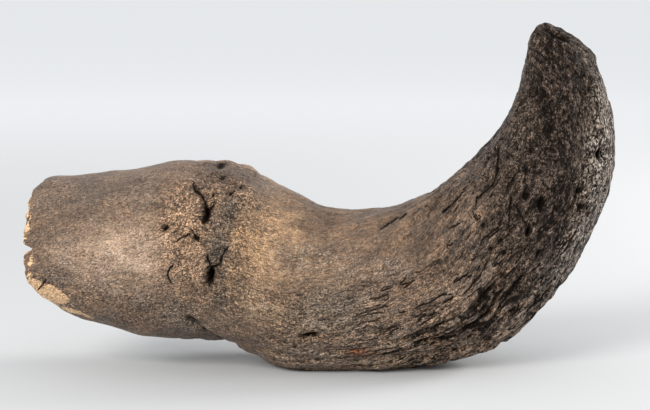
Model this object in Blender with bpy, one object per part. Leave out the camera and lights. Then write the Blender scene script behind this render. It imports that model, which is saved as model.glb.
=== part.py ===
"""Fossil bison horn core, lying on its belly with the tip up.

It is one grown piece of bone: the curved horn core, the knobbly burr at its foot and a broken
piece of the skull's frontal bone, which is hollow where the frontal sinus ran into it.
The curve lies in the XZ plane. The broken bone end is at -X, the tip at +X, and z = 0 is the
surface that the worn underside rests on. Values are in millimetres up to the last step.
"""

import math

import bmesh
import bpy
from mathutils import Vector, noise

MM = 0.001

# Driving dimensions. A station is a place along the horn core, counted in rows of SECTIONS.
OVERALL_LENGTH = 310.4
WALL_THICKNESS = 7.0

# The hollow in the bone end: its depth, how much further it goes behind a rim that stands in,
# and how soon its walls close to the round inner end
SINUS_DEPTH = 62.0
SINUS_SLANT = 0.30
SINUS_ROUNDNESS = 0.42

# The blunt tip: its height, how far it leans to the inner curve, and its taper in depth
TIP_CAP_HEIGHT = 13.8
TIP_CAP_LEAN = 0.58
TIP_CAP_TAPER = 0.24

# The burr: middle and half width in stations, then its swelling and its knobs
BURR_STATION = 6.6
BURR_HALF_WIDTH = 1.5
BURR_SWELL = 1.6
BURR_KNOB_SIZE = 11.0
BURR_KNOB_HEIGHT = 3.8
BURR_KNOB_MIDDLE = 0.45

# The furrows along the horn: depth, spacing, narrowness, how slowly they wander, and the
# degrees by which the grain turns round the horn on its way from the foot to the upper horn
FURROW_DEPTH = 1.6
FURROW_SPACING = 9.5
FURROW_NARROWNESS = 0.10
FURROW_WANDER = 0.30
GRAIN_TURN = 50.0

# Unevenness of the weathered outside and of the bone in the sinus: height and size
WEATHERING_HEIGHT = 1.2
WEATHERING_SIZE = 17.0
SPONGE_HEIGHT = 1.1
SPONGE_SIZE = 7.0

# The slab of space under z = 0 that levels the underside, in metres
SLAB_SIZE = (0.4, 0.2, 0.04)

# The mesh: points round and along the drawn-out sphere, the shares of its rings from the tip
# to the inner end of the sinus, and the share of its triangles that are kept
POINTS_AROUND = 168
RINGS = 240
CAP_END = 0.08
OUTSIDE_END = 0.79
RIM_END = 0.82
TRIANGLE_SHARE = 0.118

# Outline of the horn core seen from its side, one row for each section across it, from the
# broken end to the tip: the point on the upper or inner edge (x, z), the point on the lower or
# outer edge (x, z), half the depth along Y, and how square the section is (2 is an ellipse).
SECTIONS = (
    (0.0, 97.0, 0.0, 33.0, 27.0, 2.1),
    (12.0, 101.5, 12.0, 29.0, 30.0, 2.1),
    (28.0, 102.7, 28.0, 24.0, 33.0, 2.1),
    (43.0, 103.3, 43.0, 21.8, 36.0, 2.1),
    (62.5, 107.0, 60.5, 15.8, 39.5, 2.1),
    (82.5, 109.4, 78.5, 15.8, 42.5, 2.1),
    (101.0, 108.6, 94.5, 16.0, 43.5, 2.1),
    (115.5, 104.6, 107.5, 13.4, 42.5, 2.1),
    (129.0, 98.2, 119.5, 7.0, 41.5, 2.1),
    (141.0, 93.0, 130.0, 0.4, 40.5, 2.2),
    (155.5, 86.2, 147.0, -2.0, 40.0, 2.3),
    (173.0, 83.2, 173.0, -2.6, 40.0, 2.3),
    (191.5, 85.4, 207.5, 0.0, 40.0, 2.2),
    (206.0, 90.0, 239.0, 6.4, 39.5, 2.2),
    (215.5, 95.0, 259.5, 18.6, 38.5, 2.2),
    (224.5, 101.4, 276.5, 36.6, 37.0, 2.2),
    (233.5, 108.9, 289.2, 53.8, 34.5, 2.2),
    (242.6, 118.6, 302.8, 81.6, 31.5, 2.3),
    (250.8, 129.0, 309.2, 105.4, 28.0, 2.3),
    (256.2, 140.4, 308.8, 129.8, 24.5, 2.3),
    (260.4, 153.2, 304.2, 149.4, 21.0, 2.4),
    (263.4, 167.0, 299.4, 161.8, 17.0, 2.5),
)
TIP_STATION = len(SECTIONS) - 1

# How far the broken rim stands in from the end of the bone, by the angle round the section:
# 0 is the top, 90 the front, 180 the underside and 270 the back.
BROKEN_RIM = (
    (0, 9.5),
    (14, 8.0),
    (24, 4.6),
    (41, 3.2),
    (65, 2.0),
    (82, 0.6),
    (87, 5.0),
    (92, 1.6),
    (100, 0.4),
    (117, 1.8),
    (130, 8.5),
    (144, 18.5),
    (154, 28.0),
    (167, 44.0),
    (180, 56.0),
    (196, 54.0),
    (214, 40.0),
    (232, 27.0),
    (252, 13.0),
    (268, 9.0),
    (276, 15.0),
    (284, 8.0),
    (305, 5.0),
    (330, 9.0),
    (360, 9.5),
)

# Bony struts inside the sinus: angle round the section, how far each stands in and its width.
SINUS_STRUTS = (
    (28, 0.26, 11.0),
    (118, 0.20, 10.0),
    (205, 0.24, 12.0),
    (292, 0.30, 11.0),
)

# Holes and pits in the side seen from the front or from the back: side (-1 front, 1 back),
# x, z, half length, half width, lean in degrees from +X towards +Z, and depth. Two of them are
# knobs of the burr, with a depth below zero.
PITS = (
    (-1, 97.0, 89.4, 6.5, 2.1, 86, 5.5),
    (-1, 99.2, 54.8, 5.2, 2.3, 73, 7.0),
    (-1, 75.5, 80.3, 2.4, 2.0, 60, 3.5),
    (-1, 89.4, 29.4, 5.0, 2.3, -46, 4.5),
    (-1, 149.2, 22.7, 5.5, 2.2, 10, 4.0),
    (-1, 212.0, 19.6, 8.0, 2.2, 5, 2.6),
    (-1, 242.6, 102.5, 9.0, 2.0, 66, 2.4),
    (-1, 268.4, 91.7, 4.5, 2.8, 80, 3.0),
    (-1, 261.6, 77.8, 4.2, 2.4, 66, 2.6),
    (-1, 299.0, 116.3, 4.5, 2.4, 80, 2.6),
    (-1, 86.4, 86.0, 9.0, 8.0, 0, -1.4),
    (-1, 96.0, 57.0, 3.4, 2.6, 70, -1.6),
    (1, 92.0, 70.0, 6.0, 2.8, 75, 5.0),
    (1, 104.0, 48.0, 4.5, 2.8, 110, 4.5),
    (1, 142.0, 62.0, 3.4, 2.6, 20, 3.4),
    (1, 226.0, 62.0, 7.0, 2.6, 42, 3.2),
    (1, 282.0, 104.0, 4.5, 2.6, 75, 3.0),
)

# Furrows cut by blood vessels at the foot of the horn: side, the points that each runs
# through (x, z), half width and depth.
VESSEL_GROOVES = (
    (-1, ((109.4, 90.0), (103.6, 79.0), (103.2, 67.0), (99.6, 55.0)), 4.0, 2.6),
    (-1, ((121.5, 14.0), (160.0, 8.8), (200.0, 10.0), (250.0, 14.0)), 2.6, 1.7),
    (1, ((118.0, 92.0), (112.0, 72.0), (104.0, 50.0), (98.0, 34.0)), 4.2, 2.6),
    (1, ((128.0, 74.0), (170.0, 54.0), (214.0, 56.0), (250.0, 78.0)), 3.2, 1.8),
)

# Middle and radius of the smooth patch on the front of the horn's foot
SMOOTH_FOOT = Vector((132.0, -40.0, 76.0))
SMOOTH_FOOT_RADIUS = 30.0

# The side of the upper horn has a shallow trough, and past it a rounded corner where it turns
# to the outer curve: angle round the section, half width in degrees and height.
TROUGHS_AND_CORNERS = (
    (107, 11.0, -1.7),
    (128, 9.0, 1.6),
    (252, 12.0, -1.4),
    (231, 9.0, 1.4),
)


def bell(distance, width):
    """A smooth bump: 1 at no distance, and nearly 0 from twice the width."""
    return math.exp(-((distance / width) ** 2))


def ramp(value, low, high):
    """Rises smoothly from 0 at low to 1 at high."""
    share = min(max((value - low) / (high - low), 0.0), 1.0)
    return share * share * (3.0 - 2.0 * share)


def angle_between(first, second):
    """The difference of two angles in degrees, at most 180."""
    return abs((first - second + 180.0) % 360.0 - 180.0)


def section_at(station):
    """The section's six numbers at a place between the rows, on a smooth curve through them."""
    index = min(int(station), TIP_STATION - 1)
    share = station - index
    rows = [SECTIONS[min(max(index + step, 0), TIP_STATION)] for step in (-1, 0, 1, 2)]
    values = []
    for before, start, end, after in zip(*rows):
        slope_in = (end - before) / 2.0
        slope_out = (after - start) / 2.0
        cubic = 2.0 * start - 2.0 * end + slope_in + slope_out
        square = 3.0 * end - 3.0 * start - 2.0 * slope_in - slope_out
        values.append(((cubic * share + square) * share + slope_in) * share + start)
    return values


def skin_point(station, around, inset=0.0, shrink=1.0):
    """A point of the smooth form at a station and an angle in degrees round the section."""
    upper_x, upper_z, lower_x, lower_z, half_depth, squareness = section_at(station)
    turn = math.radians(around)
    upward = math.copysign(abs(math.cos(turn)) ** (2.0 / squareness), math.cos(turn))
    forward = math.copysign(abs(math.sin(turn)) ** (2.0 / squareness), math.sin(turn))
    reach_x = (upper_x - lower_x) / 2.0
    reach_z = (upper_z - lower_z) / 2.0
    half_height = math.hypot(reach_x, reach_z)
    upward *= (1.0 - inset / half_height) * shrink
    forward *= (1.0 - inset / half_depth) * shrink
    return Vector(
        (
            (upper_x + lower_x) / 2.0 + reach_x * upward,
            -half_depth * forward,
            (upper_z + lower_z) / 2.0 + reach_z * upward,
        )
    )


def station_at_x(x):
    """The station of the upright sections of the bone end that lies this far along X."""
    low, high = 0.0, 8.0
    for _ in range(24):
        middle = (low + high) / 2.0
        upper_x, _, lower_x, *_ = section_at(middle)
        if (upper_x + lower_x) / 2.0 < x:
            low = middle
        else:
            high = middle
    return (low + high) / 2.0


def rim_setback(around):
    """How far in from the end of the bone the broken rim is at this angle."""
    for (start, setback), (end, next_setback) in zip(BROKEN_RIM, BROKEN_RIM[1:]):
        if around <= end:
            share = (around - start) / (end - start)
            return setback + (next_setback - setback) * share
    return BROKEN_RIM[-1][1]


def tip_cap_point(share, around):
    """A point of the worn tip: share is 0 in its middle and 1 on its edge."""
    upper_x, upper_z, lower_x, lower_z, *_ = SECTIONS[TIP_STATION]
    spread = math.sin(share * math.pi / 2.0) ** (2.0 / 3.0)
    rise = math.cos(share * math.pi / 2.0) ** (2.0 / 3.0)
    edge = skin_point(TIP_STATION, around)
    edge.y *= 1.0 - TIP_CAP_TAPER * rise
    centre = Vector(((upper_x + lower_x) / 2.0, 0.0, (upper_z + lower_z) / 2.0))
    across = Vector((lower_x - upper_x, 0.0, lower_z - upper_z)).normalized()
    outward = Vector((-across.z, 0.0, across.x))
    towards_upper = math.cos(math.radians(around)) * spread
    lift = TIP_CAP_HEIGHT * rise * (1.0 + TIP_CAP_LEAN * towards_upper)
    return centre + (edge - centre) * spread + outward * lift


def sinus_point(share, around):
    """A point of the hollow in the bone end: share is 0 at the rim and 1 at its inner end."""
    setback = rim_setback(around)
    turn = share * math.pi / 2.0
    inner_end = SINUS_DEPTH + SINUS_SLANT * setback
    x = setback + (inner_end - setback) * math.sin(turn)
    width = math.cos(turn) ** SINUS_ROUNDNESS
    for angle, height, half_width in SINUS_STRUTS:
        stands_in = height * ramp(share, 0.05, 0.45)
        width *= 1.0 - stands_in * bell(angle_between(around, angle), half_width)
    return skin_point(station_at_x(x), around, WALL_THICKNESS, width)


def grain_turn(station):
    """The degrees by which the grain has turned round the horn core at a station."""
    return GRAIN_TURN * ramp(station, 7.5, 15.5)


def surface_point(along, line):
    """The smooth form's point, its station and angle, and whether it is on the outside.

    along runs from 0 at the middle of the tip, down the outside to the rim, over it and into
    the sinus, to 1 at the sinus's inner end. line is the angle of a line of the mesh at the
    rim. The lines turn with the grain, so that the furrows run along them.
    """
    if along < CAP_END:
        around = (line - GRAIN_TURN) % 360.0
        return tip_cap_point(along / CAP_END, around), float(TIP_STATION), around, True
    rim_station = station_at_x(rim_setback(line))
    if along < OUTSIDE_END:
        share = (along - CAP_END) / (OUTSIDE_END - CAP_END)
        station = TIP_STATION + (rim_station - TIP_STATION) * share
        around = (line - grain_turn(station)) % 360.0
        return skin_point(station, around), station, around, True
    if along < RIM_END:
        share = (along - OUTSIDE_END) / (RIM_END - OUTSIDE_END)
        return skin_point(rim_station, line, WALL_THICKNESS * share), rim_station, line, False
    share = (along - RIM_END) / (1.0 - RIM_END)
    return sinus_point(share, line), rim_station, line, False


def pit_depth(point, side, x, z, half_length, half_width, lean, depth):
    """How deep one pit is at a point."""
    if point.y * side < 0.0:
        return 0.0
    turn = math.radians(lean)
    along = (point.x - x) * math.cos(turn) + (point.z - z) * math.sin(turn)
    across = (point.z - z) * math.cos(turn) - (point.x - x) * math.sin(turn)
    return depth * bell(math.hypot(along / half_length, across / half_width), 1.0)


def groove_depth(point, side, path, half_width, depth):
    """How deep one vessel groove is at a point."""
    if point.y * side < 0.0:
        return 0.0
    place = Vector((point.x, point.z))
    nearest = 1e9
    for start, end in zip(path, path[1:]):
        start = Vector(start)
        step = Vector(end) - start
        share = min(max((place - start).dot(step) / step.length_squared, 0.0), 1.0)
        nearest = min(nearest, (place - start - step * share).length)
    return depth * bell(nearest, half_width)


def burr_height(point, station):
    """The swelling ring at the foot of the horn, covered with knobs."""
    band = bell(station - BURR_STATION, BURR_HALF_WIDTH)
    distances, _ = noise.voronoi(point / BURR_KNOB_SIZE)
    knob = BURR_KNOB_HEIGHT * (BURR_KNOB_MIDDLE - distances[0])
    return band * (BURR_SWELL + knob)


def furrow_depth(point, station, around):
    """Long furrows that wander along the horn core, and fade at its smooth foot and its tip."""
    horn = ramp(station, 7.5, 10.0) * (1.0 - ramp(station, 14.0, TIP_STATION))
    if point.y < 0.0:
        horn *= 1.0 - 0.8 * bell((point - SMOOTH_FOOT).length, SMOOTH_FOOT_RADIUS)
    turn = math.radians(around + grain_turn(station))
    half_depth = section_at(station)[4]
    place = Vector((math.cos(turn), math.sin(turn), 0.0)) * (half_depth / FURROW_SPACING)
    place.z = station * FURROW_WANDER
    return FURROW_DEPTH * horn * bell(noise.noise(place), FURROW_NARROWNESS)


def corner_height(station, around):
    """The trough and the rounded corner down the side of the upper horn."""
    upper_horn = ramp(station, 13.0, 16.0) * (1.0 - ramp(station, 19.5, TIP_STATION))
    height = 0.0
    for angle, half_width, rise in TROUGHS_AND_CORNERS:
        height += rise * bell(angle_between(around, angle), half_width)
    return height * upper_horn


def sponge_height(point):
    """The uneven bone inside the sinus and on the broken rim."""
    return SPONGE_HEIGHT * noise.noise(point / SPONGE_SIZE)


def relief(point, station, around):
    """How far the bone stands out from the smooth form at a point of the outside."""
    height = burr_height(point, station)
    height += corner_height(station, around)
    height -= furrow_depth(point, station, around)
    height += WEATHERING_HEIGHT * noise.noise(point / WEATHERING_SIZE)
    height -= sum(pit_depth(point, *pit) for pit in PITS)
    height -= sum(groove_depth(point, *groove) for groove in VESSEL_GROOVES)
    return height


def clear_scene():
    """Start from an empty file."""
    for item in list(bpy.data.objects):
        bpy.data.objects.remove(item)


def new_collection(name):
    """A collection in the scene."""
    collection = bpy.data.collections.new(name)
    bpy.context.scene.collection.children.link(collection)
    return collection


def bone_material():
    """Mineral-stained old bone."""
    material = bpy.data.materials.new("fossil_bone")
    material.use_nodes = True
    shader = material.node_tree.nodes["Principled BSDF"]
    shader.inputs["Base Color"].default_value = (0.19, 0.125, 0.08, 1.0)
    shader.inputs["Roughness"].default_value = 0.55
    shader.inputs["Metallic"].default_value = 0.0
    return material


def make_horn_core(collection):
    """The grown piece: a sphere drawn out along the horn and turned in at the broken end."""
    bm = bmesh.new()
    bmesh.ops.create_uvsphere(bm, u_segments=POINTS_AROUND, v_segments=RINGS, radius=1.0)
    places = []
    for vert in bm.verts:
        along = math.acos(min(max(vert.co.z, -1.0), 1.0)) / math.pi
        line = math.degrees(math.atan2(vert.co.y, vert.co.x)) % 360.0
        vert.co, station, around, outside = surface_point(along, line)
        places.append((station, around, outside))
    bm.normal_update()
    for vert, (station, around, outside) in zip(bm.verts, places):
        if outside:
            vert.co += vert.normal * relief(vert.co, station, around)
        else:
            vert.co += vert.normal * sponge_height(vert.co)
    shift = Vector((-OVERALL_LENGTH / 2.0, 0.0, 0.0))
    for vert in bm.verts:
        vert.co = (vert.co + shift) * MM
    mesh = bpy.data.meshes.new("horn_core")
    bm.to_mesh(mesh)
    bm.free()
    mesh.materials.append(bone_material())
    horn = bpy.data.objects.new("horn_core", mesh)
    collection.objects.link(horn)
    thin = horn.modifiers.new("facets", "DECIMATE")
    thin.ratio = TRIANGLE_SHARE
    thin.use_collapse_triangulate = True
    return horn


def cut_rest_face(horn, collection):
    """Level the worn underside, so that the horn core rests on a flat patch at z = 0."""
    bpy.ops.mesh.primitive_cube_add(size=1.0, location=(0.0, 0.0, -SLAB_SIZE[2] / 2.0))
    slab = bpy.context.object
    slab.name = "rest_face_cutter"
    slab.scale = SLAB_SIZE
    bpy.ops.object.transform_apply(location=False, rotation=False, scale=True)
    for owner in list(slab.users_collection):
        owner.objects.unlink(slab)
    collection.objects.link(slab)
    slab.hide_render = True
    slab.display_type = "WIRE"
    cut = horn.modifiers.new("rest_face", "BOOLEAN")
    cut.operation = "DIFFERENCE"
    cut.solver = "EXACT"
    cut.object = slab


def main():
    clear_scene()
    parts = new_collection("fossil_horn_core")
    cutters = new_collection("cutters")
    horn = make_horn_core(parts)
    cut_rest_face(horn, cutters)


main()
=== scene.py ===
# %% [markdown]
# # A fossil bison horn core, dressed for a photograph
#
# The real thing is one grown piece of bone: a curved horn core, a knobbly burr at its foot and a
# broken piece of the skull, hollow where the frontal sinus ran into it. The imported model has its
# solid. This script makes the finished surface around that solid: the same form with far more
# points, the bark-like splits, pores and crevices worked into the mesh, and a bone material.
#
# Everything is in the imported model's frame: the broken end at -X, the tip at +X, z = 0 underneath.
# The horn is worked out in millimetres. The camera, the lamps and the floor are in metres.

import math

import bmesh
import bpy
import numpy as np
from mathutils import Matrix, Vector, noise


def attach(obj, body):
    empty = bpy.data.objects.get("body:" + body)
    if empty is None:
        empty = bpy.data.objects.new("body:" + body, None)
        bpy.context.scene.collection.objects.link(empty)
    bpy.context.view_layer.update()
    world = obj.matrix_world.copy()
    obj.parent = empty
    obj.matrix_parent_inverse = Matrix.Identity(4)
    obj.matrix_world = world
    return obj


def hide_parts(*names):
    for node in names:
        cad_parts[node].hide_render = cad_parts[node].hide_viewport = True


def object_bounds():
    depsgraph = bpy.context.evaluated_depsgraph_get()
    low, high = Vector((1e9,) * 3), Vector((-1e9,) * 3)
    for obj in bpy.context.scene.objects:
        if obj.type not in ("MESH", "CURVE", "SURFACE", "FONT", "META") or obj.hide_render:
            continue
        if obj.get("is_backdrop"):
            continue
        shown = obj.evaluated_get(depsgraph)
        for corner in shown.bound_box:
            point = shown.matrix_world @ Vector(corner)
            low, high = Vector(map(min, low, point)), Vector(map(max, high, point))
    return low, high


MM = 0.001

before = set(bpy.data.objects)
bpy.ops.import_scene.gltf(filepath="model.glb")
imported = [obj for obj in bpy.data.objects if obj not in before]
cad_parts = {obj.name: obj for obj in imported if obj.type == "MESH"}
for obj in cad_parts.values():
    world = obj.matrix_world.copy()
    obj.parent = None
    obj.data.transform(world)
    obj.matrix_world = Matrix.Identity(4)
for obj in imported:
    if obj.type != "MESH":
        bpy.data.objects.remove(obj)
cad_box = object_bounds()
cad_low = np.array(cad_box[0]) / MM
cad_high = np.array(cad_box[1]) / MM
print("solid, in mm:", np.round(cad_high - cad_low, 1))

# %% [markdown]
# ## The camera
#
# The photograph looks at the side of the horn from a little above, with a long lens. A long lens
# far away keeps the near side from swelling, so the outline in the picture is nearly the real
# one. The camera stands 0.9 m away and 8 degrees up, and aims at the middle of the find.

# %% Place the camera
CAMERA_ELEVATION = 8.0
CAMERA_DISTANCE = 0.9
CAMERA_LENS = 93.9
AIM = Vector((0.0018, 0.0, 0.0862))


def direction(azimuth, elevation):
    """Unit vector towards a place: azimuth 0 is the viewer's side, and 90 is the right."""
    turn = math.radians(azimuth)
    rise = math.radians(elevation)
    return Vector((math.sin(turn) * math.cos(rise), -math.cos(turn) * math.cos(rise), math.sin(rise)))


camera_data = bpy.data.cameras.new("photo_camera")
camera_data.lens = CAMERA_LENS
camera = bpy.data.objects.new("photo_camera", camera_data)
camera.location = AIM + direction(0.0, CAMERA_ELEVATION) * CAMERA_DISTANCE
camera.rotation_euler = (AIM - camera.location).to_track_quat("-Z", "Y").to_euler()
bpy.context.scene.collection.objects.link(camera)
bpy.context.scene.camera = camera
print("camera at", [round(v, 3) for v in camera.location])

# %% [markdown]
# ## The form of the horn
#
# Seen from its side the horn is an outline with an inner and an outer edge. Each row below is one
# cut across it: a point on the inner edge, a point on the outer edge, half the depth and how
# square the cut is. A smooth curve through the rows gives a cut anywhere along the horn, and a
# place along it is called a station. These are the same rows as the solid's, so that both agree.

# %% Cuts across the horn
OVERALL_LENGTH = 310.4
WALL_THICKNESS = 7.0

# inner edge x and z, outer edge x and z, half depth, squareness
SECTIONS = np.array((
    (0.0, 97.0, 0.0, 33.0, 27.0, 2.1),
    (12.0, 101.5, 12.0, 29.0, 30.0, 2.1),
    (28.0, 102.7, 28.0, 24.0, 33.0, 2.1),
    (43.0, 103.3, 43.0, 21.8, 36.0, 2.1),
    (62.5, 107.0, 60.5, 15.8, 39.5, 2.1),
    (82.5, 109.4, 78.5, 15.8, 42.5, 2.1),
    (101.0, 108.6, 94.5, 16.0, 43.5, 2.1),
    (115.5, 104.6, 107.5, 13.4, 42.5, 2.1),
    (129.0, 98.2, 119.5, 7.0, 41.5, 2.1),
    (141.0, 93.0, 130.0, 0.4, 40.5, 2.2),
    (155.5, 86.2, 147.0, -2.0, 40.0, 2.3),
    (173.0, 83.2, 173.0, -2.6, 40.0, 2.3),
    (191.5, 85.4, 207.5, 0.0, 40.0, 2.2),
    (206.0, 90.0, 239.0, 6.4, 39.5, 2.2),
    (215.5, 95.0, 259.5, 18.6, 38.5, 2.2),
    (224.5, 101.4, 276.5, 36.6, 37.0, 2.2),
    (233.5, 108.9, 289.2, 53.8, 34.5, 2.2),
    (242.6, 118.6, 302.8, 81.6, 31.5, 2.3),
    (250.8, 129.0, 309.2, 105.4, 28.0, 2.3),
    (256.2, 140.4, 308.8, 129.8, 24.5, 2.3),
    (260.4, 153.2, 304.2, 149.4, 21.0, 2.4),
    (263.4, 167.0, 299.4, 161.8, 17.0, 2.5),
))
TIP_STATION = len(SECTIONS) - 1
print(len(SECTIONS), "cuts, the last at station", TIP_STATION)

# %% [markdown]
# A cut is an oval, a little squarer than an ellipse. A place on it is an angle: 0 is on top, 90
# at the front and 180 underneath. It can be drawn in by some millimetres, or shrunk as a whole.


# %% Points of the smooth form
def section_at(station):
    """The six numbers of a cut at each station, on a smooth curve through the rows."""
    index = np.clip(station.astype(int), 0, TIP_STATION - 1)
    share = (station - index)[:, None]
    before, start, end, after = (SECTIONS[np.clip(index + step, 0, TIP_STATION)] for step in (-1, 0, 1, 2))
    slope_in = (end - before) / 2.0
    slope_out = (after - start) / 2.0
    cubic = 2.0 * start - 2.0 * end + slope_in + slope_out
    square = 3.0 * end - 3.0 * start - 2.0 * slope_in - slope_out
    return (((cubic * share + square) * share + slope_in) * share + start).T


def signed_power(value, power):
    """A power that keeps the sign, which makes a circle squarer or rounder."""
    return np.copysign(np.abs(value) ** power, value)


def section_shares(station, around, inset=0.0, shrink=1.0):
    """How far up and forward a point of the cut is, as shares of its half height and depth."""
    upper_x, upper_z, lower_x, lower_z, half_depth, squareness = section_at(station)
    turn = np.radians(around)
    half_height = np.hypot(upper_x - lower_x, upper_z - lower_z) / 2.0
    upward = signed_power(np.cos(turn), 2.0 / squareness) * (1.0 - inset / half_height) * shrink
    forward = signed_power(np.sin(turn), 2.0 / squareness) * (1.0 - inset / half_depth) * shrink
    return upward, forward


def skin_point(station, around, inset=0.0, shrink=1.0):
    """Points of the smooth form, at each station and angle around it."""
    upper_x, upper_z, lower_x, lower_z, half_depth, _ = section_at(station)
    upward, forward = section_shares(station, around, inset, shrink)
    x = (upper_x + lower_x) / 2.0 + (upper_x - lower_x) / 2.0 * upward
    z = (upper_z + lower_z) / 2.0 + (upper_z - lower_z) / 2.0 * upward
    return np.stack((x, -half_depth * forward, z), axis=1)


SAMPLES = 2101

fine_stations = np.linspace(0.0, TIP_STATION, SAMPLES)
middle_line = skin_point(fine_stations, np.zeros(SAMPLES), shrink=0.0)
outer_line = skin_point(fine_stations, np.full(SAMPLES, 180.0))
middle_steps = np.linalg.norm(np.diff(middle_line, axis=0), axis=1)
outer_steps = np.linalg.norm(np.diff(outer_line, axis=0), axis=1)
middle_lengths = np.concatenate(([0.0], np.cumsum(middle_steps)))
outer_lengths = np.concatenate(([0.0], np.cumsum(outer_steps)))
print("length along the middle line:", round(middle_lengths[-1]), "mm")
print("length along the outer curve:", round(outer_lengths[-1]), "mm")

# %% [markdown]
# ## The broken bone end
#
# The skull broke away along a ragged edge, and the frontal sinus left the bone hollow. The rim's
# table says how far the edge stands in at each angle. The hollow follows the wall inwards, and
# closes to a round end, with a few bony struts along it.

# %% Rim and sinus
SINUS_DEPTH = 62.0
SINUS_SLANT = 0.30
SINUS_ROUNDNESS = 0.42
NICK_DEPTH = 1.6
NICK_COUNT = 7.0
UPRIGHT_SAMPLES = 801

# angle round the cut in degrees, how far the edge stands in
BROKEN_RIM = np.array((
    (0, 9.5), (14, 8.0), (24, 4.6), (41, 3.2), (65, 2.0), (82, 0.6), (87, 5.0), (92, 1.6),
    (100, 0.4), (117, 1.8), (130, 8.5), (144, 18.5), (154, 28.0), (167, 44.0), (180, 56.0),
    (196, 54.0), (214, 40.0), (232, 27.0), (252, 13.0), (268, 9.0), (276, 15.0), (284, 8.0),
    (305, 5.0), (330, 9.0), (360, 9.5),
))

# angle round the cut, height as a share of the hollow's width, half width in degrees
SINUS_STRUTS = (
    (28, 0.26, 11.0),
    (118, 0.20, 10.0),
    (205, 0.24, 12.0),
    (292, 0.30, 11.0),
)


def bell(distance, width):
    """A smooth bump: 1 at no distance, and nearly 0 from twice the width."""
    return np.exp(-((distance / width) ** 2))


def ramp(value, low, high):
    """Rises smoothly from 0 at low to 1 at high."""
    share = np.clip((value - low) / (high - low), 0.0, 1.0)
    return share * share * (3.0 - 2.0 * share)


def angle_between(first, second):
    """The difference of two angles in degrees, at most 180."""
    return np.abs((first - second + 180.0) % 360.0 - 180.0)


def rim_setback(around):
    """How far in from the end of the bone the broken rim is at each angle, with small nicks."""
    setback = np.interp(around, BROKEN_RIM[:, 0], BROKEN_RIM[:, 1])
    turn = np.radians(around)
    nicks = [noise.noise((math.cos(t) * NICK_COUNT, math.sin(t) * NICK_COUNT, 3.0)) for t in turn]
    return np.maximum(setback + NICK_DEPTH * np.array(nicks), 0.0)


def station_at_x(x):
    """The station of the nearly upright cuts of the bone end that lies this far along X."""
    return np.interp(x, middle_line[:UPRIGHT_SAMPLES, 0], fine_stations[:UPRIGHT_SAMPLES])


def sinus_place(share, around):
    """Station, inset and shrink of a point of the hollow: share is 0 at the rim, 1 at its end."""
    setback = rim_setback(around)
    turn = share * math.pi / 2.0
    inner_end = SINUS_DEPTH + SINUS_SLANT * setback
    station = station_at_x(setback + (inner_end - setback) * np.sin(turn))
    width = np.clip(np.cos(turn), 0.0, 1.0) ** SINUS_ROUNDNESS
    for angle, height, half_width in SINUS_STRUTS:
        stands_in = height * ramp(share, 0.05, 0.45)
        width = width * (1.0 - stands_in * bell(angle_between(around, angle), half_width))
    return station, np.full(len(station), WALL_THICKNESS), width


print("the rim stands in by", BROKEN_RIM[:, 1].min(), "to", BROKEN_RIM[:, 1].max(), "mm")

# %% [markdown]
# ## The worn tip
#
# The tip is blunt: an oblique cap, higher on its outer side, that the weather has rounded. It
# could be a half sphere, but that would look like a finger. Powers below 1 make the cap flatter
# in the middle and quicker round its edge.

# %% The tip's cap
TIP_CAP_HEIGHT = 13.8
TIP_CAP_LEAN = 0.58
TIP_CAP_TAPER = 0.24
TIP_CAP_POWER = 2.0 / 3.0

tip_row = SECTIONS[TIP_STATION]
tip_centre = np.array(((tip_row[0] + tip_row[2]) / 2.0, 0.0, (tip_row[1] + tip_row[3]) / 2.0))
tip_across = np.array((tip_row[2] - tip_row[0], 0.0, tip_row[3] - tip_row[1]))
tip_across = tip_across / np.linalg.norm(tip_across)
tip_outward = np.array((-tip_across[2], 0.0, tip_across[0]))


def cap_spread(share):
    """How far out a place on the cap is: share is 0 in its middle and 1 on its edge."""
    return np.sin(share * math.pi / 2.0) ** TIP_CAP_POWER


def tip_cap_point(share, around):
    """Points of the worn tip and their height."""
    spread = cap_spread(share)
    rise = np.clip(np.cos(share * math.pi / 2.0), 0.0, 1.0) ** TIP_CAP_POWER
    edge = skin_point(np.full(len(share), float(TIP_STATION)), around)
    edge[:, 1] *= 1.0 - TIP_CAP_TAPER * rise
    lift = TIP_CAP_HEIGHT * rise * (1.0 + TIP_CAP_LEAN * np.cos(np.radians(around)) * spread)
    return tip_centre + (edge - tip_centre) * spread[:, None] + tip_outward * lift[:, None], lift


print("tip's middle at", np.round(tip_centre, 1), "mm, cap", TIP_CAP_HEIGHT, "mm high")

# %% [markdown]
# ## Drawing out a sphere
#
# A sphere has one closed skin with no seams, so it is drawn out like clay: its top pole becomes
# the tip, its sides run down the horn to the rim, turn over it, and go on inside as the sinus up
# to the bottom pole. The rings lie evenly along the outer curve, about as far apart as the
# points round the horn, so that no place is coarser than another. The lines from pole to pole
# turn round the horn a little on their way, like the stripes of a barber's pole, because the
# grain of this bone does, and furrows come out cleaner when they run along the mesh.

# %% Make the smooth form
POINTS_AROUND = 248
RINGS = 388
CAP_END = 0.055
OUTSIDE_END = 0.86
RIM_END = 0.885
GRAIN_TURN = 50.0


def grain_turn(station):
    """The degrees by which the grain has turned round the horn at each station."""
    return GRAIN_TURN * ramp(station, 7.5, 15.5)


bm = bmesh.new()
bmesh.ops.create_uvsphere(bm, u_segments=POINTS_AROUND, v_segments=RINGS, radius=1.0)
sphere = np.array([vert.co for vert in bm.verts])
along = np.arccos(np.clip(sphere[:, 2], -1.0, 1.0)) / math.pi
around = np.degrees(np.arctan2(sphere[:, 1], sphere[:, 0])) % 360.0

on_cap = along < CAP_END
on_side = (along >= CAP_END) & (along < OUTSIDE_END)
on_rim = (along >= OUTSIDE_END) & (along < RIM_END)
in_sinus = along >= RIM_END

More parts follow.
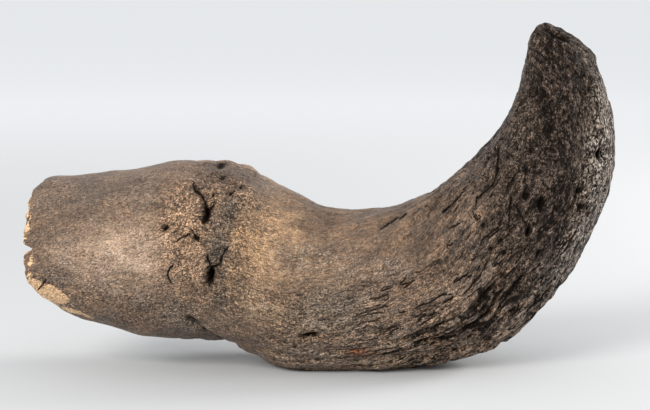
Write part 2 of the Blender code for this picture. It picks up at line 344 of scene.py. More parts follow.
rim_station = station_at_x(rim_setback(around))
rim_length = np.interp(rim_station, fine_stations, outer_lengths)
down_side = np.clip((along - CAP_END) / (OUTSIDE_END - CAP_END), 0.0, 1.0)
side_length = outer_lengths[-1] + (rim_length - outer_lengths[-1]) * down_side
station = np.interp(side_length, outer_lengths, fine_stations)
inset = WALL_THICKNESS * np.clip((along - OUTSIDE_END) / (RIM_END - OUTSIDE_END), 0.0, 1.0)
shrink = np.ones(len(along))
down_sinus = np.clip((along - RIM_END) / (1.0 - RIM_END), 0.0, 1.0)
sinus_station, _, sinus_width = sinus_place(down_sinus, around)
station[in_sinus] = sinus_station[in_sinus]
shrink[in_sinus] = sinus_width[in_sinus]
around = (around - grain_turn(station)) % 360.0

point = skin_point(station, around, inset, shrink)
cap_point, cap_lift = tip_cap_point(np.clip(along / CAP_END, 0.0, 1.0), around)
point[on_cap] = cap_point[on_cap]
cap_lift[~on_cap] = 0.0
outside = on_cap | on_side
print(len(point), "points:", on_side.sum(), "on the side,", in_sinus.sum(), "in the sinus")

# %% [markdown]
# ## The horn drawn out straight
#
# Bone fibres run along the horn and turn with it. A pattern that is stretched along X would run
# off the curve, so each point also gets its place on a straightened horn: its length along the
# middle line, and its offset from that line. Stretched noise in those coordinates follows the
# curve like grain in bent wood. The offsets are turned back by as much as the grain has turned,
# and lowered along the neck, so that its lines rise towards the horn.
# The mesh keeps these places as an attribute for the material too.

# %% Straightened places
NECK_LEAN = 0.35
NECK_LENGTH = 60.0

spread = np.ones(len(along))
spread[on_cap] = cap_spread(along[on_cap] / CAP_END)
upper_x, upper_z, lower_x, lower_z, half_depth, _ = section_at(station)
half_height = np.hypot(upper_x - lower_x, upper_z - lower_z) / 2.0
upward, forward = section_shares(station, around, inset, shrink)
offset_y = half_depth * forward * spread
offset_z = half_height * upward * spread
turned = np.radians(grain_turn(station))
straight = np.stack(
    (
        np.interp(station, fine_stations, middle_lengths) + cap_lift,
        offset_y * np.cos(turned) + offset_z * np.sin(turned),
        offset_z * np.cos(turned) - offset_y * np.sin(turned),
    ),
    axis=1,
)
straight[:, 2] -= NECK_LEAN * NECK_LENGTH * (1.0 - np.exp(-straight[:, 0] / NECK_LENGTH))
lower_share = (1.0 - np.cos(np.radians(around))) / 2.0
print("straightened horn:", np.round(straight.max(axis=0) - straight.min(axis=0)), "mm")

# %% [markdown]
# ## Which way is out
#
# Relief is raised along the normals of the smooth form, so the form is written to the sphere's
# points first, and its normals are read back.

# %% Normals of the smooth form
for vert, place in zip(bm.verts, point):
    vert.co = place
bmesh.ops.recalc_face_normals(bm, faces=bm.faces)
bm.normal_update()
normal = np.array([vert.normal for vert in bm.verts])
print("normals point outwards:", bool((normal[on_side & (around > 80) & (around < 100), 1] < 0).all()))

# %% [markdown]
# ## The main relief
#
# Some forms are deep enough to be in the solid as well: the burr's swelling with its knobs, the
# long furrows, the shallow trough down the side of the upper horn, and the holes and vessel
# grooves. They use the same values as the solid, so the dressed piece lies close around it.

# %% Burr, furrows and weathering
BURR_STATION = 6.6
BURR_HALF_WIDTH = 1.5
BURR_SWELL = 1.6
BURR_KNOB_SIZE = 11.0
BURR_KNOB_HEIGHT = 3.8
BURR_KNOB_MIDDLE = 0.45

FURROW_DEPTH = 1.6
FURROW_SPACING = 9.5
FURROW_NARROWNESS = 0.10
FURROW_WANDER = 0.30

WEATHERING_HEIGHT = 1.2
WEATHERING_SIZE = 17.0

SMOOTH_FOOT = np.array((132.0, -40.0, 76.0))
SMOOTH_FOOT_RADIUS = 30.0


def noise_at(places):
    """Smooth noise, about -1 to 1, at each place. Its lumps are about one unit across."""
    return np.array([noise.noise(place) for place in places.tolist()])


def cells_at(places):
    """Distances to the nearest and second nearest cell middles, for knobs, pores and sponge."""
    nearest = [noise.voronoi(place)[0][:2] for place in places.tolist()]
    return np.array(nearest).T


def burr_height(point, station):
    """The swelling ring at the foot of the horn, covered with knobs."""
    knob = BURR_KNOB_HEIGHT * (BURR_KNOB_MIDDLE - cells_at(point / BURR_KNOB_SIZE)[0])
    return bell(station - BURR_STATION, BURR_HALF_WIDTH) * (BURR_SWELL + knob)


def furrow_depth(point, station, around, half_depth):
    """Long furrows that wander along the horn, and fade at its smooth foot and its tip."""
    horn = ramp(station, 7.5, 10.0) * (1.0 - ramp(station, 14.0, TIP_STATION))
    foot = bell(np.linalg.norm(point - SMOOTH_FOOT, axis=1), SMOOTH_FOOT_RADIUS)
    horn = horn * np.where(point[:, 1] < 0.0, 1.0 - 0.8 * foot, 1.0)
    turn = np.radians(around + grain_turn(station))
    reach = half_depth / FURROW_SPACING
    place = np.stack((np.cos(turn) * reach, np.sin(turn) * reach, station * FURROW_WANDER), axis=1)
    return FURROW_DEPTH * horn * bell(noise_at(place), FURROW_NARROWNESS)


relief = burr_height(point, station)
relief -= furrow_depth(point, station, around, half_depth)
relief += WEATHERING_HEIGHT * noise_at(point / WEATHERING_SIZE)
print("burr, furrows and weathering:", np.round((relief[outside].min(), relief[outside].max()), 1), "mm")

# %% [markdown]
# ## Holes, grooves and cracks that are placed one by one
#
# A hand-sized find is known by its own marks: the crack through the burr, the holes in the side,
# the groove that a vessel cut round the foot. Each is a row in a table, with its place on the
# side of the horn in millimetres. Holes are oval dips. Grooves and cracks are dips along a line.

# %% Marks of the solid
# angle round the cut and half width, in degrees, and rise: a trough is below 0
TROUGHS_AND_CORNERS = (
    (107, 11.0, -1.7),
    (128, 9.0, 1.6),
    (252, 12.0, -1.4),
    (231, 9.0, 1.4),
)

# side (-1 front, 1 back), x, z, half length, half width, lean in degrees, depth: a boss is below 0
PITS = (
    (-1, 97.0, 89.4, 6.5, 2.1, 86, 5.5),
    (-1, 99.2, 54.8, 5.2, 2.3, 73, 7.0),
    (-1, 75.5, 80.3, 2.4, 2.0, 60, 3.5),
    (-1, 89.4, 29.4, 5.0, 2.3, -46, 4.5),
    (-1, 149.2, 22.7, 5.5, 2.2, 10, 4.0),
    (-1, 212.0, 19.6, 8.0, 2.2, 5, 2.6),
    (-1, 242.6, 102.5, 9.0, 2.0, 66, 2.4),
    (-1, 268.4, 91.7, 4.5, 2.8, 80, 3.0),
    (-1, 261.6, 77.8, 4.2, 2.4, 66, 2.6),
    (-1, 299.0, 116.3, 4.5, 2.4, 80, 2.6),
    (-1, 86.4, 86.0, 9.0, 8.0, 0, -1.4),
    (-1, 96.0, 57.0, 3.4, 2.6, 70, -1.6),
    (1, 92.0, 70.0, 6.0, 2.8, 75, 5.0),
    (1, 104.0, 48.0, 4.5, 2.8, 110, 4.5),
    (1, 142.0, 62.0, 3.4, 2.6, 20, 3.4),
    (1, 226.0, 62.0, 7.0, 2.6, 42, 3.2),
    (1, 282.0, 104.0, 4.5, 2.6, 75, 3.0),
)

# side, points along the groove (x, z), half width, depth
VESSEL_GROOVES = (
    (-1, ((109.4, 90.0), (103.6, 79.0), (103.2, 67.0), (99.6, 55.0)), 4.0, 2.6),
    (-1, ((121.5, 14.0), (160.0, 8.8), (200.0, 10.0), (250.0, 14.0)), 2.6, 1.7),
    (1, ((118.0, 92.0), (112.0, 72.0), (104.0, 50.0), (98.0, 34.0)), 4.2, 2.6),
    (1, ((128.0, 74.0), (170.0, 54.0), (214.0, 56.0), (250.0, 78.0)), 3.2, 1.8),
)

print(len(TROUGHS_AND_CORNERS), "troughs and corners")

# %% [markdown]
# Each mark needs one number at every point: 1 in the middle of the mark and 0 away from it. For
# an oval that is a bell over the distance in the oval's own directions. For a line it is a bell
# over the distance from the line, which also has a sign for the side on which the point lies.


# %% Press in the marks of the solid
def in_patch(point, side, x, z, half_length, half_width, lean):
    """1 in the middle of a leaning oval on one side of the horn, falling to 0 round it."""
    turn = math.radians(lean)
    lengthwise = (point[:, 0] - x) * math.cos(turn) + (point[:, 2] - z) * math.sin(turn)
    crosswise = (point[:, 2] - z) * math.cos(turn) - (point[:, 0] - x) * math.sin(turn)
    patch = bell(np.hypot(lengthwise / half_length, crosswise / half_width), 1.0)
    return np.where(point[:, 1] * side >= 0.0, patch, 0.0)


def line_offset(point, path):
    """How far each point is from a line through points (x, z), with a sign for its side of it."""
    place = point[:, [0, 2]]
    nearest = np.full(len(point), 1e9)
    for start, end in zip(path, path[1:]):
        start = np.array(start)
        step = np.array(end) - start
        share = np.clip((place - start) @ step / (step @ step), 0.0, 1.0)
        gap = place - start - share[:, None] * step
        offset = np.copysign(np.linalg.norm(gap, axis=1), step[0] * gap[:, 1] - step[1] * gap[:, 0])
        nearest = np.where(np.abs(offset) < np.abs(nearest), offset, nearest)
    return nearest


def near_line(point, side, path, half_width):
    """1 on a line through points (x, z) on one side of the horn, falling to 0 beside it."""
    return np.where(point[:, 1] * side >= 0.0, bell(line_offset(point, path), half_width), 0.0)


upper_horn = ramp(station, 13.0, 16.0) * (1.0 - ramp(station, 19.5, TIP_STATION))
for angle, half_width, rise in TROUGHS_AND_CORNERS:
    relief += rise * bell(angle_between(around, angle), half_width) * upper_horn
for *place, depth in PITS:
    relief -= depth * in_patch(point, *place)
for side, path, half_width, depth in VESSEL_GROOVES:
    relief -= depth * near_line(point, side, path, half_width)
print(len(PITS), "holes,", len(VESSEL_GROOVES), "grooves; deepest", round(-relief[outside].min(), 1), "mm")

# %% [markdown]
# ## Bark-like splits
#
# The horn grew in layers along its length. Weather opens them like old bark: thin splits run with
# the grain, and worn layers end in low ledges. Noise that is stretched along the horn gives all of
# it. Cut off at a low and a high value, it is a set of long flat strips with gaps between them. A
# narrow band of it is a split. Its remainder after whole steps is a set of layers, each sloping up
# to a sudden edge. They are strongest on the outer, lower side, as in the photograph. All wander
# a little, and gaps interrupt the splits. A number added to the places picks another part of the
# noise, so that no two of these patterns are alike.

# %% Splits and ledges
SPLIT_DEPTH = 1.5
SPLIT_STRETCH = np.array((22.0, 4.4, 4.4))
SPLIT_NARROWNESS = 0.19
STRIP_HEIGHT = 1.1
STRIP_STRETCH = np.array((13.0, 3.4, 3.4))
LEDGE_HEIGHT = 0.8
LEDGE_STRETCH = np.array((30.0, 10.0, 10.0))
LEDGE_LAYERS = 4.0
CREASE_DEPTH = 0.9
CREASE_STRETCH = np.array((40.0, 5.0, 5.0))
CREASE_NARROWNESS = 0.12
WANDER = 0.55
WANDER_SIZE = 16.0

horn = ramp(station, 7.4, 9.0) * outside
bark = horn * ramp(station, 10.3, 13.3) * ramp(lower_share, 0.34, 0.66)
bark = bark * (1.0 - 0.75 * ramp(station, 13.5, 16.5))
inner_curve = horn * ramp(station, 11.0, 13.0) * (1.0 - ramp(lower_share, 0.36, 0.52))
wander = WANDER * noise_at(straight / WANDER_SIZE)[:, None] * np.array((0.0, 1.0, 1.0))

split_noise = noise_at(straight / SPLIT_STRETCH + wander)
split_gaps = ramp(noise_at(straight / np.array((20.0, 8.0, 8.0)) + 31.7), -0.18, 0.16)
splits = bell(split_noise, SPLIT_NARROWNESS) * split_gaps * (0.16 * horn + bark)

layers = LEDGE_LAYERS * noise_at(straight / LEDGE_STRETCH + wander + 7.3)
ledges = (layers % 1.0 - 0.5) * (0.10 * horn + bark)

crease_noise = noise_at(straight / CREASE_STRETCH + wander + 12.9)
crease_gaps = ramp(noise_at(straight / np.array((24.0, 9.0, 9.0)) + 3.1), -0.10, 0.20)
creases = bell(crease_noise, CREASE_NARROWNESS) * crease_gaps * inner_curve

strip_noise = noise_at(straight / STRIP_STRETCH + wander + 23.1)
strips = (ramp(strip_noise, -0.20, 0.10) - 0.5) * (0.08 * horn + bark)

fine = LEDGE_HEIGHT * ledges + STRIP_HEIGHT * strips - SPLIT_DEPTH * splits - CREASE_DEPTH * creases
print("bark covers", round(100.0 * float((bark > 0.5).mean())), "% of the points")

# %% [markdown]
# ## Pores and blisters
#
# Towards the tip and along the outer edge the bone is porous, where small vessels came out. Cells
# around scattered middles give pores of uneven size: each dips where its middle is near.

# %% Pores, lumps and grain
PORE_DEPTH = 1.3
PORE_SPACING = np.array((6.2, 4.4, 4.4))
PORE_REACH = 0.30
LUMP_HEIGHT = 0.55
LUMP_SIZE = 4.6
GRAIN_HEIGHT = 0.30
GRAIN_STRETCH = np.array((9.0, 2.4, 2.4))

porous = horn * (0.20 + 0.80 * ramp(station, 14.0, 17.0))
pore_distance = cells_at(straight / PORE_SPACING + wander)[0]
pore_gaps = ramp(noise_at(straight / 13.0 + 5.5), -0.22, 0.14)
pores = (1.0 - ramp(pore_distance, 0.06, PORE_REACH)) * pore_gaps * porous

lumps = noise_at(point / LUMP_SIZE + 2.2) * (0.25 * horn + 0.75 * porous)
grain = noise_at(straight / GRAIN_STRETCH + wander + 9.4) * horn

fine += LUMP_HEIGHT * lumps + GRAIN_HEIGHT * grain - PORE_DEPTH * pores
print("pores:", int((pores > 0.5).sum()), "points are in one")

# %% [markdown]
# ## The rough burr and the smoother neck
#
# The burr is where the horn's sheath took hold. Its bone is rugose: small worm-like knobs with
# crevices between them. The crevices lie where the two nearest cell middles are equally far.
# The neck below it is skull bone, almost smooth, with shallow waves and fine striations. In the
# vessel's groove the fibres run across the horn, along the groove. The largest knob has ridges
# that spread from its middle, which the material draws in a ring round it.

# %% Knobs, crevices and striations
CREVICE_DEPTH = 0.85
CREVICE_SPACING = 4.6
KNOB_HEIGHT = 0.4
WAVE_HEIGHT = 0.45
WAVE_SIZE = 10.0
STRIATION_HEIGHT = 0.26
STRIATION_STRETCH = np.array((24.0, 2.4, 2.4))
GROOVE_FIBRE_HEIGHT = 1.1
GROOVE_FIBRE_STRETCH = np.array((1.9, 7.0, 7.0))
KNOB_MIDDLE = np.array((87.6, 87.4))

# x, z, half length, half width, lean in degrees
RUGOSE_PATCHES = ((86.0, 80.0, 24.0, 11.0, 82.0), (107.0, 96.0, 13.0, 8.0, -20.0))

rugose = bell(station - 6.3, 1.15) * (1.0 - 0.7 * ramp(lower_share, 0.62, 0.85)) * outside
rugose = rugose * ramp(lower_share, 0.03, 0.16)
for place in RUGOSE_PATCHES:
    rugose = np.clip(rugose + in_patch(point, -1, *place), 0.0, 1.0)
bent = point + 3.0 * noise_at(point / 5.0)[:, None] + 1.2 * noise_at(point / 2.2)[:, None]
first, second = cells_at(bent / CREVICE_SPACING)
crevices = 1.0 - ramp(second - first, 0.02, 0.34)
neck = (1.0 - ramp(station, 5.2, 6.6)) * outside
striations = noise_at((straight + 0.25 * straight[:, [2, 2, 0]] * (0, 0, 1)) / STRIATION_STRETCH)

groove = np.zeros(len(point))
for side, path, half_width, _ in (VESSEL_GROOVES[0], VESSEL_GROOVES[2]):
    groove = np.maximum(groove, near_line(point, side, path, 1.3 * half_width))
groove_fibres = noise_at(straight / GROOVE_FIBRE_STRETCH + wander + 17.9)

plain_knob = 1.0 - 0.6 * in_patch(point, -1, *KNOB_MIDDLE, 7.0, 7.0, 0.0)
fine += rugose * plain_knob * (KNOB_HEIGHT * (0.5 - first) - CREVICE_DEPTH * crevices)
fine += groove * GROOVE_FIBRE_HEIGHT * groove_fibres

from_knob = np.linalg.norm(point[:, [0, 2]] - KNOB_MIDDLE, axis=1)
knob_ring = bell(from_knob - 5.8, 3.6) * (point[:, 1] < 0.0)
fine += neck * (WAVE_HEIGHT * noise_at(point / WAVE_SIZE + 4.4) + STRIATION_HEIGHT * striations)
print("rugose bone:", int((rugose > 0.5).sum()), "points")

# %% [markdown]
# ## The broken rim, the sinus and the layered tip
#
# Inside, the sinus is lined with spongy bone: shallow cells with thin walls between them. The
# broken edge shows thin layers. Near the tip, layers run parallel to its oblique top.

# %% Sponge and layers
SPONGE_HEIGHT = 1.1
SPONGE_SIZE = 7.0
CELL_HEIGHT = 1.5
CELL_SIZE = 5.2
BREAK_HEIGHT = 0.55
BREAK_SIZE = 2.4
TIP_LAYER_HEIGHT = 0.45
TIP_LAYER_SPACING = 1.9
LAYER_NORMAL = np.array((0.62, 0.0, 0.78))

lining = in_sinus * ramp(down_sinus, 0.0, 0.12)
sponge = SPONGE_HEIGHT * noise_at(point / SPONGE_SIZE)
cells = cells_at(point / CELL_SIZE)[0]
relief = np.where(outside, relief, sponge)
fine += lining * CELL_HEIGHT * (cells - 0.45)
fine += on_rim * BREAK_HEIGHT * noise_at(point / BREAK_SIZE)

near_tip = ramp(station, 19.2, 20.4) * outside
layered = np.stack((point @ LAYER_NORMAL, point[:, 1], point[:, 0] - point[:, 2]), axis=1)
fine += near_tip * TIP_LAYER_HEIGHT * noise_at(layered / np.array((TIP_LAYER_SPACING, 16.0, 16.0)))
print("sinus lining:", int((lining > 0.5).sum()), "points")

# %% [markdown]
# ## Fine marks of this find
#
# The front ones are where the photograph has them. The back can't be seen, so it gets a few of
# the same kind in likely places.

# %% Cracks
# side, points along the crack (x, z), half width, depth: a raised rib is below 0
CRACKS = (
    (-1, ((89.4, 100.7), (90.1, 98.8), (93.8, 96.3), (95.9, 93.7), (97.4, 90.4)), 1.0, 2.6),
    (-1, ((97.4, 90.4), (97.1, 86.9), (95.7, 84.3)), 1.5, 3.4),
    (-1, ((97.4, 90.4), (100.1, 92.1)), 0.9, 2.4),
    (-1, ((87.9, 77.3), (84.5, 75.6), (81.4, 73.7)), 0.9, 1.6),
    (-1, ((90.0, 78.4), (92.6, 74.4)), 0.8, 1.6),
    (-1, ((79.5, 61.5), (77.2, 58.2), (76.7, 55.4), (78.2, 52.6)), 1.0, 1.3),
    (-1, ((88.6, 53.0), (95.0, 52.6)), 0.8, 0.8),
    (-1, ((106.8, 69.4), (105.2, 66.0), (104.2, 62.9), (101.6, 60.3)), 1.1, 2.2),
    (-1, ((97.5, 65.6), (98.6, 61.4), (99.6, 57.0)), 1.1, 1.8),
    (-1, ((75.5, 97.1), (75.3, 89.4), (75.4, 82.0)), 1.0, 0.8),
    (-1, ((246.9, 118.0), (245.8, 112.4), (242.7, 102.3), (236.4, 95.0)), 0.9, 2.0),
    (-1, ((252.3, 95.0), (251.1, 80.6)), 0.9, 1.6),
    (-1, ((255.0, 90.1), (260.2, 81.8)), 0.8, 1.8),
    (-1, ((266.1, 151.2), (265.8, 147.1)), 0.8, 1.4),
    (-1, ((218.3, 86.7), (229.3, 96.9)), 0.8, 1.3),
    (-1, ((214.4, 81.4), (227.5, 93.7)), 0.7, 1.0),
    (-1, ((221.5, 78.8), (226.0, 81.4)), 0.7, 1.4),
    (-1, ((198.3, 74.5), (221.1, 84.6)), 0.7, 0.9),
    (-1, ((229.0, 97.4), (237.3, 106.6), (245.0, 118.0)), 0.8, 1.0),
    (-1, ((203.6, 18.2), (211.0, 20.2), (220.8, 19.8)), 1.1, 2.0),
    (-1, ((94.0, 24.2), (101.0, 19.0), (109.6, 13.4)), 1.5, 1.6),
    (-1, ((185.8, 77.6), (190.4, 80.6)), 0.7, 1.3),
    (-1, ((191.4, 80.8), (194.2, 82.6)), 0.8, 1.6),
    (-1, ((196.0, 82.4), (199.2, 84.4)), 0.7, 1.3),
    (-1, ((8.6, 46.2), (12.4, 50.8)), 0.9, 1.4),
    (-1, ((271.9, 173.8), (277.9, 172.8), (285.1, 166.3), (292.3, 157.5)), 0.8, 0.7),
    (-1, ((271.5, 180.2), (276.2, 177.3), (282.0, 174.7)), 1.2, 1.8),
    (-1, ((264.9, 175.3), (268.6, 177.5)), 0.8, 0.9),
    (-1, ((119.0, 39.6), (128.0, 39.0), (141.0, 37.4), (150.0, 35.4)), 1.4, -0.7),
    (-1, ((150.0, 30.4), (157.0, 29.4)), 2.0, -1.0),
    (-1, ((122.0, 16.4), (136.4, 14.4), (159.8, 11.2), (180.6, 11.0)), 1.8, -0.7),
    (1, ((96.0, 92.0), (94.0, 80.0), (97.0, 70.0)), 1.4, 2.6),
    (1, ((84.0, 48.0), (90.0, 38.0)), 1.1, 2.0),
    (1, ((200.0, 40.0), (222.0, 50.0), (236.0, 64.0)), 1.1, 1.8),
    (1, ((262.0, 92.0), (272.0, 112.0)), 1.0, 1.8),
    (1, ((150.0, 24.0), (161.0, 25.8), (170.0, 22.4), (186.0, 23.4)), 1.0, 1.6),
)

print(len(CRACKS), "cracks")

# %% Small holes
# side, x, z, half length, half width, lean in degrees, depth
HOLES = (
    (-1, 75.5, 80.3, 1.6, 1.3, 60, 3.0), (-1, 99.2, 54.4, 4.0, 1.5, 73, 3.0),
    (-1, 89.4, 29.4, 3.8, 1.4, -46, 2.6), (-1, 149.1, 22.7, 4.6, 1.3, 8, 2.4),
    (-1, 90.5, 75.6, 1.1, 1.0, 40, 1.8), (-1, 92.8, 75.5, 1.1, 1.0, 40, 1.8),
    (-1, 99.7, 96.0, 1.2, 1.0, 40, 1.8), (-1, 108.8, 96.4, 1.6, 1.1, 40, 1.6),
    (-1, 113.6, 98.6, 1.4, 1.0, 40, 1.4), (-1, 104.3, 103.2, 2.4, 1.2, 20, 1.4),
    (-1, 260.3, 95.7, 2.4, 1.6, 50, 2.4), (-1, 268.4, 91.7, 4.2, 1.9, 82, 3.2),
    (-1, 261.6, 77.6, 3.4, 1.3, 72, 2.8), (-1, 272.3, 129.6, 2.4, 1.4, 80, 1.6),
    (-1, 262.5, 118.4, 2.0, 1.4, 70, 1.6), (-1, 259.7, 108.4, 2.6, 1.8, 60, 1.4),
    (-1, 248.9, 66.9, 2.0, 1.3, 70, 2.0), (-1, 241.8, 69.0, 1.8, 1.2, 40, 1.6),
    (-1, 246.9, 73.3, 1.8, 1.2, 30, 1.6), (-1, 240.3, 43.2, 2.2, 1.3, 40, 1.8),
    (-1, 267.3, 65.6, 3.0, 1.4, 70, 2.0), (-1, 238.0, 81.1, 1.8, 1.2, 50, 1.6),
    (-1, 289.8, 88.9, 2.0, 1.4, 80, 2.0), (-1, 292.6, 84.8, 1.8, 1.3, 70, 1.8),
    (-1, 299.0, 116.3, 3.4, 1.3, 82, 2.4), (-1, 288.4, 97.3, 2.0, 1.4, 80, 1.8),
    (-1, 102.1, 107.8, 2.6, 1.4, 0, 2.0), (1, 91.6, 70.0, 3.6, 1.6, 75, 2.4),
    (1, 104.0, 48.0, 3.0, 1.6, 110, 2.4), (1, 142.0, 62.0, 2.2, 1.6, 20, 2.2),
    (1, 226.0, 62.0, 5.0, 1.4, 42, 2.0), (1, 282.0, 104.0, 3.4, 1.6, 75, 2.2),
    (1, 270.0, 84.0, 2.4, 1.5, 60, 2.0),
)

print(len(HOLES), "small holes")

# %% [markdown]
# The mesh has a point about every millimetre, too few for a thin dark crack. So the mesh gets a
# soft dip along each crack, and the two numbers that the material needs to paint shade down its
# middle: how near the crack is, and how far to one side of it the point lies, in half widths.
# Faint cracks and ribs stay without painted shade. Thin ones are pressed in only half as deep.
# Each hole keeps a number too, for the painted shade inside it.

# %% Press in the cracks and holes
THIN_HALF_WIDTH = 1.2
FAINT_DEPTH = 1.0
DARK_CRACK_DEPTH = 1.8
DARK_HOLE_DEPTH = 1.5
CRACK_MARGIN = 1.5
FAR_FROM_CRACKS = 4.0

marks = np.zeros(len(point))
near_crack = np.zeros(len(point))
beside_crack = np.full(len(point), FAR_FROM_CRACKS)
for side, path, half_width, depth in CRACKS:
    pressed = depth * (0.5 if half_width < THIN_HALF_WIDTH else 1.0)
    fine -= pressed * near_line(point, side, path, half_width) * outside
    if depth > FAINT_DEPTH:
        offset = line_offset(point, path) / half_width
        closer = (np.abs(offset) < np.abs(beside_crack)) & (point[:, 1] * side >= 0.0) & outside
        beside_crack[closer] = offset[closer]
        wide_line = near_line(point, side, path, CRACK_MARGIN + half_width) * outside
        near_crack = np.maximum(near_crack, wide_line * min(depth / DARK_CRACK_DEPTH, 1.0))
for *place, depth in HOLES:
    hole = in_patch(point, *place) * outside
    fine -= depth * hole
    marks = np.maximum(marks, hole * min(depth / DARK_HOLE_DEPTH, 1.0))
print("fine relief down to", round(fine.min(), 1), "mm")

# %% [markdown]
# ## Raising the relief
#
# Each point moves out along its normal by the main and the fine relief. The worn belly is level
# where the horn rests, so nothing goes below z = 0. Last, the finished form is fitted to the
# solid's box, which changes it by well under a millimetre.

# %% Finish the shape
finished = point + normal * (relief + fine)[:, None]
finished[:, 0] -= OVERALL_LENGTH / 2.0
finished[:, 2] = np.maximum(finished[:, 2], 0.0)
low = finished.min(axis=0)
high = finished.max(axis=0)
print("before the fit:", np.round(low, 1), "to", np.round(high, 1))
finished = cad_low + (finished - low) * ((cad_high - cad_low) / (high - low))

for vert, place in zip(bm.verts, finished * MM):
    vert.co = place
bmesh.ops.recalc_face_normals(bm, faces=bm.faces)
mesh = bpy.data.meshes.new("bison_horn_core")
bm.to_mesh(mesh)
bm.free()
for polygon in mesh.polygons:
    polygon.use_smooth = True
horn_core = bpy.data.objects.new("bison_horn_core", mesh)
bpy.context.scene.collection.objects.link(horn_core)
mesh.calc_loop_triangles()
print(len(mesh.loop_triangles), "triangles; flat belly points:", int((finished[:, 2] < 0.001).sum()))

# %% [markdown]
# ## Where each finish lies
#
# The colour of old bone tells what happened at each place: hands and soil polished the foot of
# the horn to a golden tan, water left dark minerals, clay stayed in the vessel's groove, and a
# knock left pale fresh bone at the rim. Some finishes also hold painted light: painted shade on
# the top of the neck and burr, down the trough of the upper horn and on its side towards the tip,
# painted bounced light under the belly, and painted glints in pale flecks. Each finish is a
# number from 0 to 1 at each point, from ovals and lines that are placed like the marks above.

# %% Patches of each finish
# by finish and side: x, z, half length, half width, lean in degrees, strength
FINISH_PATCHES = {
    ("worn", -1): (
        (121, 70, 24, 12, -62, 1.0), (133, 80, 18, 11, -36, 0.85), (150, 60, 17, 7, -12, 0.35),
        (187, 77.5, 11, 5, 12, 0.12), (58, 69, 24, 13, 4, 0.9), (26, 66, 14, 9, 8, 0.35),
        # (160, 6) along the belly is painted bounced light under the horn.
        (126, 40, 18, 11, 0, 0.6), (148, 28, 18, 8, 0, 0.25), (160, 6, 40, 6, 0, 0.28),
        (110, 56, 12, 5, 80, 0.6), (44, 50, 20, 7, -14, 0.45),
    ),
    ("band", -1): (
        # The outer band: paler crust, with painted highlights on its tops from the lamp behind the horn.
        (300, 112, 42, 7.5, 86, 1.3), (287, 68, 26, 7.5, 60, 1.0), (270, 44, 16, 4, 52, 0.6),
    ),
    ("band", 1): (
        (299, 108, 40, 7.5, 86, 1.0),
    ),
    ("glint_flecks", -1): (
        # Pale flecks, most of them painted glints where the lamp's sheen lies on the neck and the horn.
        (42, 62, 22, 8, 4, 1.0), (24, 52, 14, 4, -20, 0.8), (28, 62, 16, 2.4, 14, 0.8),
        (70, 52, 14, 7, 20, 0.5), (152, 63, 22, 7, -10, 1.0), (186, 59, 16, 5, 8, 0.9),
        (118, 60, 10, 12, -50, 0.3), (181.6, 17, 4, 1.6, -2, 1.6),
    ),
    ("glint_flecks", 1): (
        (46, 60, 22, 9, 0, 0.8), (160, 66, 26, 8, -6, 0.8),
    ),
    ("aged", -1): (
        # The patches along the top of the neck and the burr are painted shade, where the top turns away
        # from the lamp.
        (34, 98, 40, 9, 0, 0.65), (20, 82, 16, 12, 10, 0.3), (108, 105, 26, 6, -10, 1.0),
        (90, 108, 34, 4, 0, 0.6), (108, 92, 9, 7, 60, 0.4), (70, 34, 34, 8, -12, 0.1),
    ),
    ("worn", 1): (
        (126, 78, 24, 15, -54, 0.8), (50, 64, 28, 14, 0, 0.5),
    ),
    ("burr_tan", -1): (
        (86, 80, 25, 12, 86, 1.0), (96, 58, 9, 7, 60, 0.8), (107, 97, 12, 6, -10, 0.7),
    ),
    ("burr_tan", 1): (
        (90, 78, 22, 12, 80, 0.9),
    ),
    ("stain_and_shade", -1): (
        # The patches on the upper horn and at the tip are partly dark mineral and partly painted shade,
        # where the horn turns away from the lamp.
        (262, 80, 34, 17, 72, 0.55), (240, 34, 34, 13, 36, 0.95), (274, 128, 30, 9, 80, 0.75),
        (102, 44, 8, 3, 80, 0.3), (280, 160, 26, 20, 80, 1.5), (214, 90, 16, 4, 30, 0.25),
        (214, 34, 18, 9, 24, 0.35), (62, 30, 30, 8, -8, 0.2), (254, 106, 14, 6, 64, 0.3),
    ),
    ("stain_and_shade", 1): (
        (250, 70, 36, 20, 62, 0.8), (200, 24, 40, 12, 8, 0.6),
    ),
    ("clay_and_bounce_light", -1): (
        (67, 97, 7, 4, 80, 0.6), (104, 40, 10, 5, 80, 0.5), (30, 96, 34, 6, 2, 0.35),
        (84, 32, 14, 9, -20, 0.6), (122, 38, 16, 12, 0, 0.35), (160, 36, 26, 14, 0, 0.55),
        # (165, 11) along the belly is painted bounced light under the horn.
        (165, 11, 38, 7, 0, 0.6),
    ),
    ("rust", -1): (
        (177, 13.4, 8, 3, -2, 1.5), (54, 33, 14, 6, -12, 0.1), (46, 100, 44, 9, 4, 0.1),
        (104, 100, 12, 7, -10, 0.1),
    ),
    ("rust", 1): (
        (60, 36, 14, 6, 0, 0.25),
    ),
    ("fresh", -1): (
        (12, 43.6, 11, 5, -26, 1.6), (27, 32.4, 13, 2, -20, 0.6), (2.6, 80, 11, 2.6, 86, 0.5),
        (4.4, 58, 8, 2.2, 80, 0.6),
    ),
    ("fresh", 1): (
        (14, 60, 11, 4, 90, 0.7),
    ),
}

